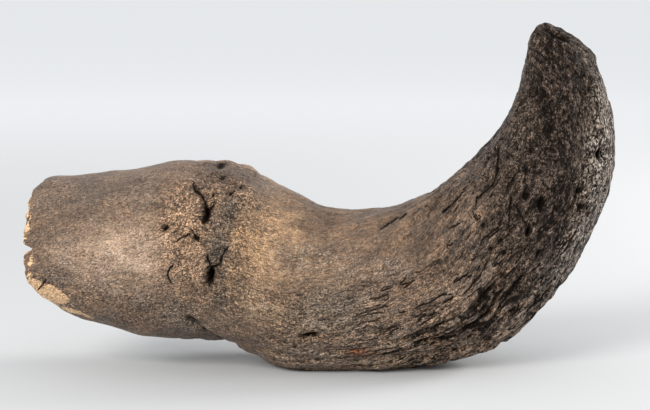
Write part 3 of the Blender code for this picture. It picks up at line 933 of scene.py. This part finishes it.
# finish, side, points along the line (x, z), half width, strength
FINISH_LINES = (
    ("clay_and_bounce_light", -1, ((109.4, 90.0), (103.6, 79.0), (103.2, 67.0), (99.6, 55.0)), 5.0, 0.70),
    ("stain_and_shade", -1, ((109.1, 89.0), (107.0, 78.7), (102.6, 68.8), (99.1, 58.2)), 2.8, 0.35),
    ("clay_and_bounce_light", 1, ((118.0, 92.0), (112.0, 72.0), (104.0, 50.0)), 4.4, 0.80),
    # The two lines down the trough of the upper horn are painted shade, where neither lamp reaches.
    ("stain_and_shade", -1, ((277.4, 146.0), (278.0, 120.0), (277.1, 93.0), (270.1, 62.0)), 8.4, 1.60),
    ("stain_and_shade", 1, ((277.4, 146.0), (278.0, 120.0), (277.1, 93.0), (262.0, 58.0)), 8.0, 0.80),
)

print(sum(len(rows) for rows in FINISH_PATCHES.values()), "patches and", len(FINISH_LINES), "lines")

# %% [markdown]
# Where two patches of one finish meet, the stronger one counts. Two noises make the edges of all
# of them uneven, as those of real stains are.

# %% Lay out the finishes
FINISHES = ("worn", "burr_tan", "aged", "stain_and_shade", "clay_and_bounce_light", "rust", "fresh", "band", "glint_flecks")
finish_at = {name: np.zeros(len(point)) for name in FINISHES}
for (name, side), rows in FINISH_PATCHES.items():
    for *place, strength in rows:
        finish_at[name] = np.maximum(finish_at[name], strength * in_patch(point, side, *place))
for name, side, path, half_width, strength in FINISH_LINES:
    finish_at[name] = np.maximum(finish_at[name], strength * near_line(point, side, path, half_width))
uneven = 1.0 + 0.8 * noise_at(point / 8.0 + 1.5) + 0.8 * noise_at(point / 3.2)
for name in FINISHES:
    finish_at[name] = np.clip(finish_at[name] * uneven, 0.0, 1.0) * outside
print({name: int((values > 0.5).sum()) for name, values in finish_at.items()})

# %% [markdown]
# ## Finishes that follow the form
#
# Some finishes need no places of their own. The bone gets darker towards the tip, partly in its
# own colour and partly as painted shade where the horn turns away from the lamp. The neck and the
# upper side of the horn's foot are smooth, and the rest has a crust. Plates like bark lie where
# the horn is rough, and pores towards its tip. The broken edge is paler bone.

# %% Finishes by the form
smooth_edge = np.interp(station, (8.0, 11.0, 14.0, 16.0), (0.56, 0.38, 0.30, 0.26))
smooth_horn = horn * ramp(smooth_edge - lower_share, -0.08, 0.08) * (1.0 - ramp(station, 15.0, 17.0))
smooth_neck = neck * (1.0 - 0.55 * ramp(lower_share, 0.50, 0.75))
smooth = np.clip(np.maximum(smooth_horn, smooth_neck) - 1.2 * rugose, 0.0, 1.0)
towards_tip = ramp(station + 1.2 * uneven, 13.0, 17.5) * outside * (1.0 - 0.6 * smooth_horn)
below_or_far = np.maximum(ramp(lower_share, 0.42, 0.66), ramp(station, 12.0, 15.0))
crusty = horn * (0.35 + 0.65 * below_or_far) * (1.0 - 0.60 * finish_at["worn"] * (station < 13.0))
neck_crust = neck * (0.30 + 0.45 * ramp(lower_share, 0.52, 0.75))
crusty = np.clip(np.maximum(np.maximum(crusty, neck_crust), 0.6 * rugose), 0.0, 1.0)
plated = horn * ramp(station, 9.4, 12.0) * (1.0 - ramp(station, 16.5, 18.5))
finish_at.update(
    aged=np.maximum(finish_at["aged"], towards_tip) * (1.0 - 0.7 * finish_at["worn"]),
    fresh=np.maximum(finish_at["fresh"], 0.42 * on_rim),
    smooth=smooth,
    crusty=crusty * (1.0 - 0.4 * near_tip),
    plated=plated * (1.0 - smooth),
    porous=porous * (1.0 - smooth) * (1.0 - 0.5 * near_tip),
    creased=inner_curve * ramp(station, 12.4, 13.6) * (1.0 - ramp(station, 16.5, 17.5)),
    inside=ramp(down_sinus, 0.0, 0.25),
    knob=knob_ring,
)
print("crust covers", round(100.0 * float((finish_at["crusty"] > 0.5).mean())), "% of the points")

# %% [markdown]
# The material can only read what the mesh carries, so each of these numbers becomes an attribute.
# So do the depth of the fine relief, the numbers of the holes and cracks, and two sets of places:
# those on the straight horn, and those that follow the layers of the tip.

# %% Keep the numbers on the mesh
finish_at.update(groove=groove, bark=bark, rugose=rugose, neck=neck, near_tip=near_tip)
finish_at.update(depth=-fine, marks=marks, near_crack=near_crack, beside_crack=beside_crack)
for name, values in finish_at.items():
    attribute = mesh.attributes.new(name, "FLOAT", "POINT")
    attribute.data.foreach_set("value", values.astype(np.float32))
for name, places in (("straight", straight), ("layered", layered)):
    attribute = mesh.attributes.new(name, "FLOAT_VECTOR", "POINT")
    attribute.data.foreach_set("vector", places.astype(np.float32).ravel())
print("attributes:", sorted(finish_at) + ["straight", "layered"])

# %% [markdown]
# ## A bone material
#
# Most colours below are ones that the find shows, and some stand in for light: painted shade and
# painted glints. They are mixed in layers, from the plain bone up: a slow mottling, the finishes
# by their attributes, the shade of the grain and of a fine worm-like texture, and last the pale
# specks with painted glints and highlights, and the painted shade in the hollows. Patterns read
# the straight places, in millimetres, so the grain turns with the horn.

# %% Colours of the bone
BONE_BROWN = (0.118, 0.072, 0.044, 1.0)
BONE_TAN = (0.227, 0.139, 0.082, 1.0)
# gold of the worn foot; under the belly it is painted bounced light
WORN_GOLD = (0.445, 0.270, 0.142, 1.0)
NECK_TAN = (0.468, 0.322, 0.222, 1.0)
BURR_TAN = (0.500, 0.310, 0.185, 1.0)
# dark mineral stains, and painted shade on the upper horn and down its trough
DARK_MINERAL_AND_SHADE = (0.031, 0.022, 0.018, 1.0)
# darker old bone, and painted shade on the top of the neck and burr and towards the tip
AGED_AND_SHADED_BROWN = (0.104, 0.076, 0.059, 1.0)
GREY_BROWN = (0.132, 0.092, 0.068, 1.0)
# grey of clay; under the belly it is painted bounced light
CLAY_GREY = (0.235, 0.182, 0.136, 1.0)
RUST_RED = (0.160, 0.056, 0.021, 1.0)
FRESH_BONE = (0.770, 0.500, 0.280, 1.0)
# pale specks of the bone, and painted glints and highlights
PALE_SPECK_AND_GLINT = (0.680, 0.580, 0.490, 1.0)
PALE_GREY_AND_GLINT = (0.400, 0.325, 0.265, 1.0)
# painted shade in the hollows, cracks and pits
HOLLOW_SHADE = (0.010, 0.007, 0.005, 1.0)

material = bpy.data.materials.new("weathered_fossil_bone")
material.use_nodes = True
tree = material.node_tree
shader = tree.nodes["Principled BSDF"]
print("shader sockets:", len(shader.inputs))

# %% [markdown]
# Nodes are joined by small helpers. The first one fills a socket. Each of the others makes one
# node, and returns the socket that carries its result, so a pattern reads like a sum.


# %% Helpers for nodes
def plug(socket, value):
    """Put a value, or the result of another node, into a socket."""
    if isinstance(value, bpy.types.NodeSocket):
        tree.links.new(value, socket)
    else:
        socket.default_value = value


def read_attribute(name, result="Fac"):
    """What the mesh keeps under this name."""
    node = tree.nodes.new("ShaderNodeAttribute")
    node.attribute_name = name
    return node.outputs[result]


def combine(how, first, second=0.0):
    """One step of arithmetic with two numbers, or with the first alone."""
    node = tree.nodes.new("ShaderNodeMath")
    node.operation = how
    plug(node.inputs[0], first)
    plug(node.inputs[1], second)
    return node.outputs["Value"]


def times(first, second):
    """The product of two numbers."""
    return combine("MULTIPLY", first, second)


def plus(first, second):
    """The sum of two numbers."""
    return combine("ADD", first, second)


def reshape(value, low, high, to_low=0.0, to_high=1.0):
    """Turn the range from low to high into another one, with soft ends."""
    node = tree.nodes.new("ShaderNodeMapRange")
    node.interpolation_type = "SMOOTHSTEP"
    for socket, number in zip(node.inputs, (value, low, high, to_low, to_high)):
        plug(socket, number)
    return node.outputs["Result"]


def mix_numbers(first, second, share):
    """A number between two others: share 0 gives the first, and 1 the second."""
    node = tree.nodes.new("ShaderNodeMix")
    for index, number in ((0, share), (2, first), (3, second)):
        plug(node.inputs[index], number)
    return node.outputs["Result"]


def paint(under, over, amount, how="MIX"):
    """Lay one colour over another by an amount."""
    node = tree.nodes.new("ShaderNodeMix")
    node.data_type = "RGBA"
    node.blend_type = how
    plug(node.inputs["Factor"], amount)
    plug(next(socket for socket in node.inputs if socket.identifier == "A_Color"), under)
    plug(next(socket for socket in node.inputs if socket.identifier == "B_Color"), over)
    return next(socket for socket in node.outputs if socket.identifier == "Result_Color")


grain_places = read_attribute("straight", "Vector")
finish = {name: read_attribute(name) for name in finish_at}
print("the material reads", len(finish) + 1, "attributes")

# %% [markdown]
# A pattern lies on the straight places and is stretched along the grain, so its size is a length
# and a width in millimetres. A cloud is smooth noise. Pebbles are distances to scattered middles.
# Steps are noise that rises through whole numbers, and the lines where it passes one. Lines of
# one width need two copies of that noise, a little apart: they stand on different steps only
# along such a line.


# %% Helpers for patterns
def stretch(length, width, places, shift=0.0):
    """Scale a pattern's places to this size, and shift them across the grain."""
    node = tree.nodes.new("ShaderNodeMapping")
    plug(node.inputs["Vector"], places)
    node.inputs["Scale"].default_value = (1.0 / length, 1.0 / width, 1.0 / width)
    node.inputs["Location"].default_value = (0.0, 0.45 * shift / width, 0.9 * shift / width)
    return node.outputs["Vector"]


def cloud(length, width, detail=3.0, roughness=0.6, distortion=0.0, shift=0.0, places=grain_places):
    """Smooth noise from 0 to 1 with lumps of this size."""
    node = tree.nodes.new("ShaderNodeTexNoise")
    plug(node.inputs["Vector"], stretch(length, width, places, shift))
    node.inputs["Scale"].default_value = 1.0
    node.inputs["Detail"].default_value = detail
    node.inputs["Roughness"].default_value = roughness
    node.inputs["Distortion"].default_value = distortion
    return node.outputs["Fac"]


def pebbles(length, width):
    """Distance to the nearest of many scattered middles, this far apart."""
    node = tree.nodes.new("ShaderNodeTexVoronoi")
    plug(node.inputs["Vector"], stretch(length, width, grain_places))
    node.inputs["Scale"].default_value = 1.0
    return node.outputs["Distance"]


def stepped(length, width, steps, line_width):
    """Noise that rises by this many steps, and the thin lines from one step to the next."""
    levels = []
    for shift in (0.0, line_width):
        smooth_noise = cloud(length, width, detail=2.6, roughness=0.5, distortion=0.5, shift=shift)
        levels.append(times(smooth_noise, steps))
    floors = [combine("FLOOR", level) for level in levels]
    passed = combine("ABSOLUTE", combine("SUBTRACT", *floors))
    return levels[0], combine("MINIMUM", passed, 1.0)


def where(name, pattern):
    """A pattern, kept only where the mesh has this finish."""
    return times(pattern, finish[name])


print("nodes so far:", len(tree.nodes))

# %% [markdown]
# ## Patterns, from coarse to fine
#
# Fibres are noise stretched along the horn. On the neck they lie in every direction, and in the
# vessel's groove across the horn. Bark is noise cut off low and high, as in the mesh but finer.
# Plates slope up to an edge, and thin cracks follow those edges, painted dark as the shade under
# each step. Most patterns both colour the bone and raise it, so that a light line is also a
# raised one.

# %% Patterns
mottle = cloud(26.0, 13.0, detail=4.0, roughness=0.55)
plate_levels, plate_edges = stepped(18.0, 5.6, 3.8, 1.0)
tint = cloud(17.0, 11.0, roughness=0.5)
streaks = cloud(15.0, 3.0, distortion=0.5)
crack_gaps = cloud(12.0, 5.0, detail=2.0, roughness=0.5)
tip_layers = cloud(1.0, 11.0, places=read_attribute("layered", "Vector"))
bark_strips = cloud(9.0, 2.4, detail=1.5, roughness=0.5, distortion=0.4)
large_pores = pebbles(5.2, 3.6)
_, curl_edges = stepped(5.0, 3.6, 2.6, 0.6)
lumps = cloud(4.2, 3.0, distortion=1.0)
cross_fibres = cloud(0.9, 3.2, distortion=1.0)
horn_fibres = cloud(3.0, 0.9, distortion=1.0)
tiny_pores = pebbles(2.8, 1.7)
small_pores = pebbles(2.6, 1.9)
neck_fibres = cloud(1.8, 1.1, distortion=1.4)
worms = cloud(1.5, 1.3, detail=2.0, distortion=1.8)
crust = cloud(1.5, 0.9, detail=2.0, distortion=0.8)
glint_fleck_noise = cloud(1.3, 0.8, detail=2.0, distortion=0.2)
grit = cloud(0.8, 0.6, detail=1.0)
print("patterns made")

# %% [markdown]
# Cut off between two values that lie close together, a noise turns into separate spots or gaps.
# Most of them belong to one finish, so they are kept only where the mesh has it.

# %% Patterns where they belong
fibres = mix_numbers(horn_fibres, neck_fibres, finish["neck"])
fibres = mix_numbers(fibres, cross_fibres, finish["groove"])
grain_gaps = times(reshape(fibres, 0.43, 0.33), combine("SUBTRACT", 1.0, finish["smooth"]))
crust_gaps = where("crusty", reshape(crust, 0.46, 0.38))
crust_tops = where("crusty", reshape(crust, 0.54, 0.63))
ragged_strips = plus(bark_strips, times(horn_fibres, 0.3))
bark_tops = where("bark", reshape(ragged_strips, 0.63, 0.74))
bark_gaps = where("bark", reshape(ragged_strips, 0.595, 0.555))
plates = where("plated", combine("FRACT", plate_levels))
bark_cracks = where("plated", reshape(crack_gaps, 0.42, 0.48))
inner_cracks = where("creased", reshape(crack_gaps, 0.52, 0.55))
# The thin lines where the plates step down: cracks, painted dark as the shadow under each ledge.
cracks = times(plate_edges, combine("MAXIMUM", bark_cracks, inner_cracks))
curl_edges = times(curl_edges, where("porous", reshape(mottle, 0.50, 0.56)))
pits = where("porous", reshape(plus(small_pores, times(crust, -0.3)), 0.06, 0.02))
holes = where("porous", reshape(plus(large_pores, times(crust, -0.45)), 0.03, -0.04))
holes = times(holes, reshape(crack_gaps, 0.44, 0.52))
clump_gaps = where("porous", reshape(lumps, 0.45, 0.39))
worm_gaps = where("rugose", reshape(worms, 0.46, 0.36))
# pale flecks, most of them painted glints
glint_flecks = where("glint_flecks", reshape(glint_fleck_noise, 0.54, 0.61))
band_pattern = plus(times(crust, 0.6), times(horn_fibres, 0.4))
band_tops = where("band", reshape(band_pattern, 0.50, 0.54))
band_gaps = where("band", reshape(band_pattern, 0.48, 0.44))
print("patterns placed")

# %% [markdown]
# Painted shade that filled a smooth dip would look like a smudge. Adding some crust to the depth
# before it is cut off makes its edge ragged. The painted shade down a placed crack wanders the
# same way, by lumps and crust. The highest places get a painted highlight.
# The ridges of the largest knob are a sine wave of the angle round its middle.

# %% Depths, cracks and knob
KNOB_RIDGES = 17.0

ragged_depth = plus(finish["depth"], times(crust, -2.4))
deep_shade = reshape(ragged_depth, -0.05, 0.70)
low_place_shade = reshape(ragged_depth, -0.95, -0.25)
high = reshape(ragged_depth, -1.60, -2.05)
marked = reshape(plus(finish["marks"], times(crust, 1.8)), 1.48, 1.62)
crack_wander = plus(finish["beside_crack"], times(lumps, 2.0))
crack_middle = combine("ABSOLUTE", combine("SUBTRACT", crack_wander, 1.0))
crack_middle = combine("SUBTRACT", crack_middle, times(crust, 0.9))
placed_crack_shade = times(reshape(crack_middle, 0.10, -0.15), reshape(finish["near_crack"], 0.40, 0.60))
separate = tree.nodes.new("ShaderNodeSeparateXYZ")
plug(separate.inputs["Vector"], tree.nodes.new("ShaderNodeTexCoord").outputs["Object"])
from_knob_x = combine("SUBTRACT", separate.outputs["X"], (KNOB_MIDDLE[0] - OVERALL_LENGTH / 2.0) * MM)
from_knob_z = combine("SUBTRACT", separate.outputs["Z"], KNOB_MIDDLE[1] * MM)
knob_angle = times(combine("ARCTAN2", from_knob_z, from_knob_x), KNOB_RIDGES)
knob_ridges = where("knob", combine("SINE", plus(knob_angle, times(lumps, 9.0))))
print("depths, cracks and knob done")

# %% [markdown]
# ## Mixing the colour
#
# First come the plain bone and its finishes, then a shade that the patterns make, then the palest
# spots, with painted glints and highlights, and the darkest spots, which are painted shade in the
# hollows. Each step goes through a list, and its order counts.

# %% Colour layers
fresh = reshape(plus(finish["fresh"], times(plus(worms, lumps), 0.8)), 1.15, 1.28)
colour = paint(BONE_BROWN, BONE_TAN, reshape(mottle, 0.34, 0.64))
for over, amount in (
    (GREY_BROWN, times(reshape(tint, 0.50, 0.62), 0.45)),
    (paint(WORN_GOLD, NECK_TAN, finish["neck"]), finish["worn"]),
    (BURR_TAN, finish["burr_tan"]),
    (AGED_AND_SHADED_BROWN, times(finish["aged"], 0.92)),
    (CLAY_GREY, finish["clay_and_bounce_light"]),
    (DARK_MINERAL_AND_SHADE, where("stain_and_shade", reshape(lumps, 0.62, 0.48, 0.35, 1.0))),
    (RUST_RED, finish["rust"]),
    (FRESH_BONE, fresh),
    (BONE_BROWN, times(finish["inside"], 0.8)),
):
    colour = paint(colour, over, amount)
print("finishes laid on")

# %% Shade from the patterns
rough_fibres = reshape(fibres, 0.34, 0.66, 0.58, 1.44)
smooth_fibres = reshape(fibres, 0.37, 0.63, 0.68, 1.34)
rough_grit = reshape(grit, 0.37, 0.63, 0.42, 1.62)
smooth_grit = reshape(grit, 0.36, 0.64, 0.72, 1.28)
crust_amount = times(finish["crusty"], reshape(finish["porous"], 0.0, 1.0, 1.0, 0.85))
crust_amount = times(crust_amount, reshape(finish["creased"], 0.0, 1.0, 1.0, 0.4))
shade = reshape(streaks, 0.34, 0.66, 0.84, 1.16)
for pattern_shade in (
    mix_numbers(rough_fibres, smooth_fibres, finish["smooth"]),
    reshape(worms, 0.34, 0.66, 0.76, 1.24),
    mix_numbers(1.0, reshape(crust, 0.39, 0.61, 0.45, 1.66), crust_amount),
    mix_numbers(1.0, reshape(ragged_strips, 0.56, 0.72, 1.15, 1.85), finish["bark"]),
    mix_numbers(1.0, reshape(streaks, 0.40, 0.60, 0.64, 1.38), finish["creased"]),
    mix_numbers(1.0, reshape(lumps, 0.38, 0.62, 0.72, 1.28), finish["porous"]),
    mix_numbers(1.0, reshape(tip_layers, 0.38, 0.62, 0.40, 1.70), finish["near_tip"]),
    reshape(knob_ridges, -0.7, 0.7, 0.50, 1.35),
    mix_numbers(rough_grit, smooth_grit, finish["smooth"]),
):
    shade = times(shade, pattern_shade)
polish = times(fresh, 0.6)
for name in ("worn", "burr_tan"):
    polish = combine("MAXIMUM", polish, times(finish[name], 0.35))
shade = mix_numbers(shade, 1.0, polish)
shade_colour = tree.nodes.new("ShaderNodeCombineColor")
for socket in shade_colour.inputs:
    plug(socket, shade)
colour = paint(colour, shade_colour.outputs["Color"], 1.0, how="MULTIPLY")
print("shaded")

# %% Palest and darkest spots
# Pale spots: partly the bone's own pale specks, partly painted glints and highlights on the highest
# places, on the tops of the crust and bark, and on the outer band, where the lamp behind the horn catches
# it.
for over, amount in (
    (PALE_SPECK_AND_GLINT, times(glint_flecks, 0.60)),
    (PALE_SPECK_AND_GLINT, band_tops),
    (PALE_SPECK_AND_GLINT, times(high, reshape(finish["stain_and_shade"], 0.0, 1.0, 0.16, 0.04))),
    (PALE_GREY_AND_GLINT, times(crust_tops, reshape(finish["stain_and_shade"], 0.0, 1.0, 0.14, 0.04))),
    (PALE_SPECK_AND_GLINT, times(bark_tops, 0.14)),
):
    colour = paint(colour, over, amount)
# Darkest spots: painted shade in the hollows, in the gaps of crust, bark, fibres and worms, in pores,
# pits, holes and cracks, and in the low and deep places of the relief.
for spots, amount in (
    (crust_gaps, 0.35),
    (band_gaps, 0.92),
    (reshape(tiny_pores, 0.26, 0.08), 0.50),
    (clump_gaps, 0.45),
    (worm_gaps, 0.50),
    (grain_gaps, 0.45),
    (bark_gaps, 0.40),
    (curl_edges, 0.80),
    (pits, 0.80),
    (placed_crack_shade, 0.95),
    (cracks, 0.95),
    (holes, 0.92),
    (low_place_shade, 0.40),
    (deep_shade, 0.88),
    (marked, 0.92),
):
    colour = paint(colour, HOLLOW_SHADE, times(spots, amount))
plug(shader.inputs["Base Color"], colour)
print("colour layers done")

# %% [markdown]
# ## Gloss and fine relief
#
# The bone has the low gloss of old wax where hands wore it, and is dull in its hollows. The
# finest relief is below what the mesh can hold, so it is a bump: heights in millimetres, added
# up and given to one Bump node whose distance is a millimetre.

# %% Gloss
gloss = reshape(worms, 0.25, 0.75, 0.31, 0.57)
gloss = combine("SUBTRACT", gloss, times(finish["worn"], 0.08))
plug(shader.inputs["Roughness"], plus(gloss, times(deep_shade, 0.30)))
shader.inputs["Metallic"].default_value = 0.0
dull = plus(times(finish["aged"], 0.6), finish["stain_and_shade"])
dull = plus(dull, times(crust_gaps, 0.6))
for dark_spots in (cracks, placed_crack_shade, curl_edges, pits, deep_shade, marked):
    dull = combine("MAXIMUM", dull, dark_spots)
plug(shader.inputs["Specular IOR Level"], reshape(dull, 0.0, 1.0, 0.50, 0.07))
print("gloss done")

# %% Bump
evenness = reshape(finish["smooth"], 0.0, 1.0, 1.0, 0.65)
bump_height = times(plus(fibres, times(worms, 0.5)), evenness)
for pattern, height in (
    (grit, 0.6),
    (streaks, 0.9),
    (reshape(tiny_pores, 0.08, 0.34), 0.3),
    (glint_flecks, 0.25),
    (plates, 0.7),
    (curl_edges, -0.6),
    (pits, -0.8),
    (placed_crack_shade, -1.2),
    (bark_tops, 0.4),
    (bark_gaps, -0.5),
    (worm_gaps, -0.7),
    (cracks, -1.0),
    (holes, -1.2),
    (deep_shade, -0.5),
    (marked, -0.9),
    (knob_ridges, 0.3),
    (clump_gaps, -0.8),
    (crust_tops, 0.55),
    (crust_gaps, -0.6),
    (band_tops, 0.5),
    (grain_gaps, -0.4),
    (where("porous", lumps), 1.8),
    (where("near_tip", tip_layers), 1.6),
):
    bump_height = plus(bump_height, times(pattern, height))
bump = tree.nodes.new("ShaderNodeBump")
bump.inputs["Strength"].default_value = 1.0
bump.inputs["Distance"].default_value = MM
plug(bump.inputs["Height"], bump_height)
plug(shader.inputs["Normal"], bump.outputs["Normal"])
mesh.materials.append(material)
print("nodes in the material:", len(tree.nodes))

# %% [markdown]
# ## Putting the piece on the frame
#
# The finished piece rides on the model's one body, and stands for the solid of the same shape.

# %% Ride and replace
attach(horn_core, "root")
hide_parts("horn_core")
print("the piece stands for the solid horn_core")

# %% [markdown]
# ## A plain, pale studio
#
# The floor is one wide disc, so wide that it fills the picture behind the horn. Its colour gets
# paler away from the middle, made with the same helpers in the floor's own node tree. This is
# painted light: darker near the horn, where the lamps add their pool of light, and paler far off,
# where only the sky reaches, so that the floor behind the horn looks evenly lit.

# %% Floor
FLOOR_RADIUS = 20.0
FLOOR_NEAR = (0.50, 0.51, 0.52, 1.0)
FLOOR_FAR = (0.88, 0.89, 0.90, 1.0)

floor_bm = bmesh.new()
bmesh.ops.create_circle(floor_bm, cap_ends=True, segments=96, radius=FLOOR_RADIUS)
floor_mesh = bpy.data.meshes.new("pale_floor")
floor_bm.to_mesh(floor_mesh)
floor_bm.free()
floor = bpy.data.objects.new("pale_floor", floor_mesh)
bpy.context.scene.collection.objects.link(floor)
floor_paint = bpy.data.materials.new("pale_paint_with_painted_falloff")
floor_paint.use_nodes = True
tree = floor_paint.node_tree
from_middle = tree.nodes.new("ShaderNodeVectorMath")
from_middle.operation = "LENGTH"
plug(from_middle.inputs[0], tree.nodes.new("ShaderNodeTexCoord").outputs["Object"])
# painted light: the floor is darker where the lamps fall and paler far off
painted_floor_falloff = paint(FLOOR_NEAR, FLOOR_FAR, reshape(from_middle.outputs["Value"], 0.15, 1.9))
floor_shader = tree.nodes["Principled BSDF"]
plug(floor_shader.inputs["Base Color"], painted_floor_falloff)
floor_shader.inputs["Roughness"].default_value = 0.9
floor_mesh.materials.append(floor_paint)
floor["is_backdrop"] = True
print("floor", 2.0 * FLOOR_RADIUS, "m wide")

# %% [markdown]
# The light is soft: a large lamp before the horn on the left, a weaker one behind on the right
# that draws a thin light edge down the outer curve, and a pale sky that fills the rest.

# %% Sky and lamps
SKY_COLOUR = (0.96, 0.975, 0.99, 1.0)
SKY_STRENGTH = 0.92

sky = bpy.data.worlds.new("pale_sky")
sky.use_nodes = True
sky_light = sky.node_tree.nodes["Background"]
sky_light.inputs["Color"].default_value = SKY_COLOUR
sky_light.inputs["Strength"].default_value = SKY_STRENGTH
bpy.context.scene.world = sky
bpy.context.scene.view_settings.view_transform = "Standard"


def hang_lamp(name, azimuth, elevation, distance, size, power, colour):
    """A square soft lamp that faces the horn."""
    lamp_data = bpy.data.lights.new(name, "AREA")
    lamp_data.size = size
    lamp_data.energy = power
    lamp_data.color = colour
    lamp = bpy.data.objects.new(name, lamp_data)
    lamp.location = AIM + direction(azimuth, elevation) * distance
    lamp.rotation_euler = (AIM - lamp.location).to_track_quat("-Z", "Y").to_euler()
    bpy.context.scene.collection.objects.link(lamp)


hang_lamp("key_lamp", -34.0, 28.0, 1.3, 0.5, 17.0, (1.0, 0.97, 0.93))
hang_lamp("edge_lamp", 106.0, 20.0, 1.2, 0.35, 12.0, (1.0, 0.98, 0.95))
print("lamps:", [lamp.name for lamp in bpy.data.lights])

# %% [markdown]
# ## Compare the size
#
# The finished piece must be as large as the solid. The two boxes are compared, and their largest
# difference is printed.

# %% Compare both boxes
dressed_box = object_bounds()
growth = [abs(a - b) / MM for ends in zip(cad_box, dressed_box) for a, b in zip(*ends)]
print("largest difference of the boxes:", round(max(growth), 2), "mm")
